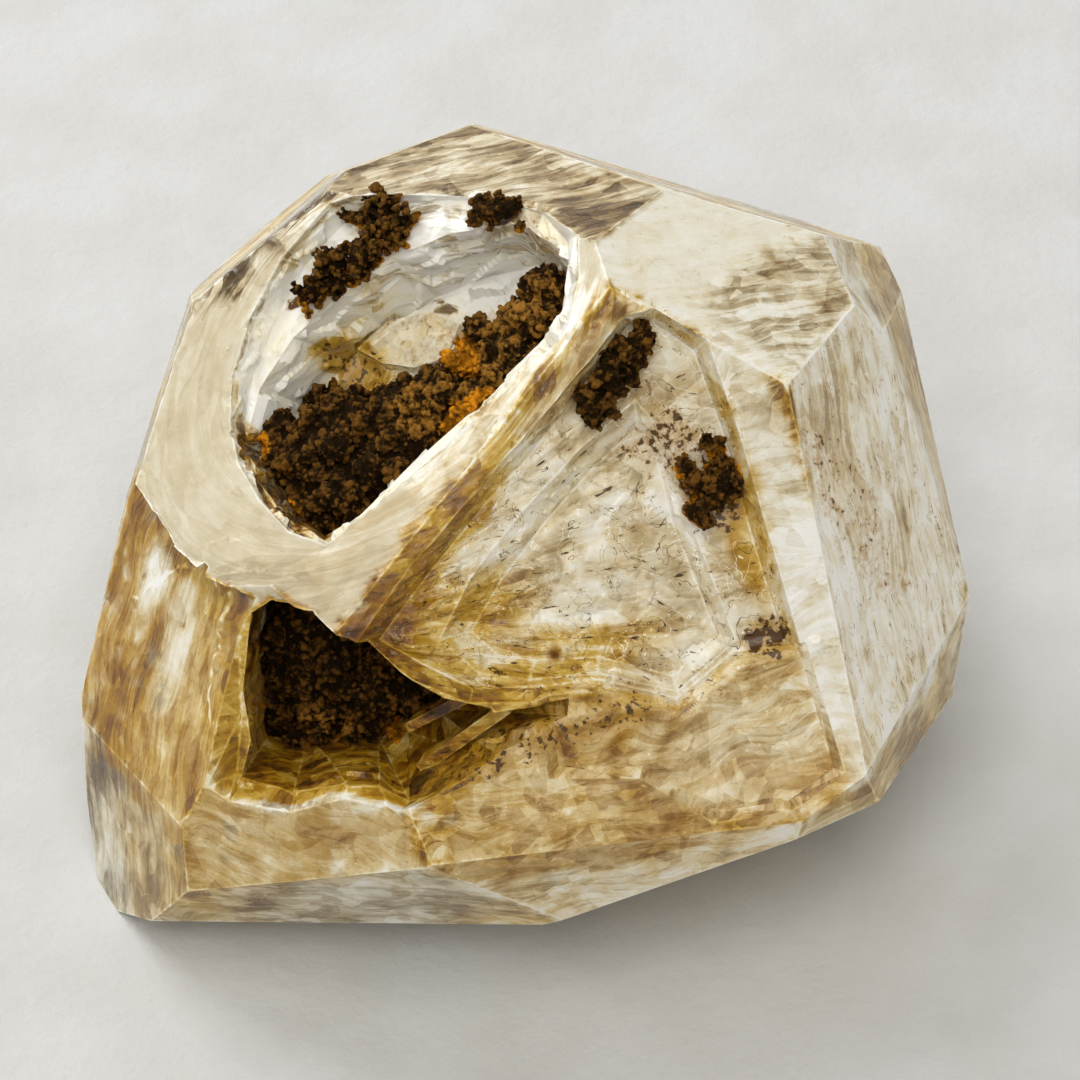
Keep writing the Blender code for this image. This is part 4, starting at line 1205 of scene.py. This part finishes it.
CRUSTS = (
    # A crust's node, the way it faces, its floor's level, and where its painted crown highlight is stronger,
    # where it is ochre and where bare.
    EarthyCrust(
        "upper_hollow_crust", UPPER, 6.6,
        light=(Spot(UPPER, -2.6, 5.4, 2.2, 5.4, 0.0), Spot(UPPER, -3.4, 0.8, 1.9, 1.9, 0.0)),
        ochre=(Spot(UPPER, -3.9, 3.7, 1.5, 1.4, 0.0), Spot(UPPER, -1.6, 1.8, 1.0, 2.6, 0.0),
               Spot(UPPER, -9.7, -3.0, 0.9, 1.6, -20.0), Spot(UPPER, -8.2, -5.2, 0.9, 1.2, 40.0),
               Spot(UPPER, -5.6, -6.5, 1.8, 0.8, 0.0), Spot(UPPER, -9.0, -1.2, 1.2, 0.8, 30.0)),
    ),
    EarthyCrust("lower_hollow_crust", LOWER, 6.9, light=(Spot(LOWER, -5.0, -8.0, 2.0, 0.8, 0.0),)),
    EarthyCrust(
        "crust_patch_top", UPPER, 10.3, clod=0.3, clods=7.0, grain=0.1, spread=0.38, rim=0.9,
        bare=(Spot(UPPER, -11.8, 3.9, 2.3, 1.2, 38.0), Spot(UPPER, -11.6, 2.0, 1.0, 0.7, 60.0)),
    ),
    EarthyCrust("crust_patch_top_right", UPPER, 10.3, clod=0.26, clods=4.0, grain=0.1, spread=0.34, rim=0.8),
    EarthyCrust("crust_patch_left", UPPER, 6.9, clod=0.26, clods=4.0, grain=0.1, spread=0.3, rim=0.6),
    EarthyCrust("crust_patch_ridge", FRONT, 8.7, clod=0.3, clods=3.0, grain=0.1, spread=0.4, rim=0.4),
    EarthyCrust("crust_patch_front", FRONT, 8.7, clod=0.28, clods=3.0, grain=0.1, spread=0.45, rim=0.8),
)


# ----- Floor, light and camera -----


@dataclass
class Studio:
    """Pale paper, soft light from behind, and the camera."""

    floor_side: float = 1.6
    look_at: Triple = (0.0007, -0.0006, 0.0135)
    distance: float = 0.180
    tilt: float = 50.0
    lens: float = 133.33
    sky: Triple = (1.0, 0.98, 0.95)
    sky_strength: float = 0.45

    def build(self) -> None:
        """Sets up the floor, the lights and the camera."""
        self.lay_floor(PaperFinish().build())
        self.light("window", (-0.20, 0.25, 0.30), 0.25, 1.2, (0.98, 0.99, 1.0))
        self.light("fill", (-0.06, -0.26, 0.74), 0.6, 3.9, (1.0, 0.97, 0.89))
        world = bpy.data.worlds.new("soft_room")
        world.use_nodes = True
        back = world.node_tree.nodes["Background"]
        back.inputs["Color"].default_value = (*self.sky, 1.0)
        back.inputs["Strength"].default_value = self.sky_strength
        bpy.context.scene.world = world
        bpy.context.scene.view_settings.view_transform = "Standard"
        self.limit_bounces()
        self.place_camera()

    @staticmethod
    def limit_bounces() -> None:
        """Keeps the light's paths short enough for a clear stone."""
        paths = bpy.context.scene.cycles
        paths.adaptive_threshold, paths.adaptive_min_samples = 0.22, 12
        paths.max_bounces, paths.diffuse_bounces = 9, 2
        paths.glossy_bounces, paths.transmission_bounces = 3, 8

    def lay_floor(self, material: bpy.types.Material) -> None:
        """Lays the paper under the crystal."""
        bpy.ops.object.select_all(action="DESELECT")
        bpy.ops.mesh.primitive_plane_add(size=self.floor_side, location=(0.0, 0.0, -0.00002))
        floor = bpy.context.object
        floor.name = "paper_floor"
        floor.data.materials.append(material)

    def light(self, name: str, at: Triple, side: float, power: float,
              colour: Triple) -> None:
        """Adds a square soft light that faces the crystal.

        Args:
            name: The light's name.
            at: Where it stands, in metres.
            side: How wide it is, in metres.
            power: Its power, in watts.
            colour: Its colour.
        """
        lamp = bpy.data.lights.new(name, "AREA")
        lamp.size, lamp.energy, lamp.color = side, power, colour
        holder = bpy.data.objects.new(name, lamp)
        holder.location = at
        holder.rotation_euler = (Vector(self.look_at) - Vector(at)).to_track_quat("-Z", "Y").to_euler()
        bpy.context.scene.collection.objects.link(holder)

    def place_camera(self) -> None:
        """Puts the camera at the photograph's angle."""
        seen = bpy.data.cameras.new("camera")
        seen.lens, seen.sensor_width = self.lens, 36.0
        seen.clip_start, seen.clip_end = 0.01, 10.0
        holder = bpy.data.objects.new("camera", seen)
        rise = math.radians(self.tilt)
        away = Vector((0.0, -math.cos(rise), math.sin(rise)))
        holder.location = Vector(self.look_at) + away * self.distance
        holder.rotation_euler = (-away).to_track_quat("-Z", "Y").to_euler()
        bpy.context.scene.collection.objects.link(holder)
        bpy.context.scene.camera = holder


def main() -> None:
    """Builds the crystal, its crusts and the studio, in that order."""
    logging.basicConfig(level=logging.INFO, format="%(name)s: %(message)s")
    bpy.ops.object.select_all(action="DESELECT")
    QuartzCrystal().build(QuartzFinish().build())
    earth = CrustFinish().build()
    for crust in CRUSTS:
        crust.build(earth)
    Studio().build()


if __name__ == "__main__":
    main()
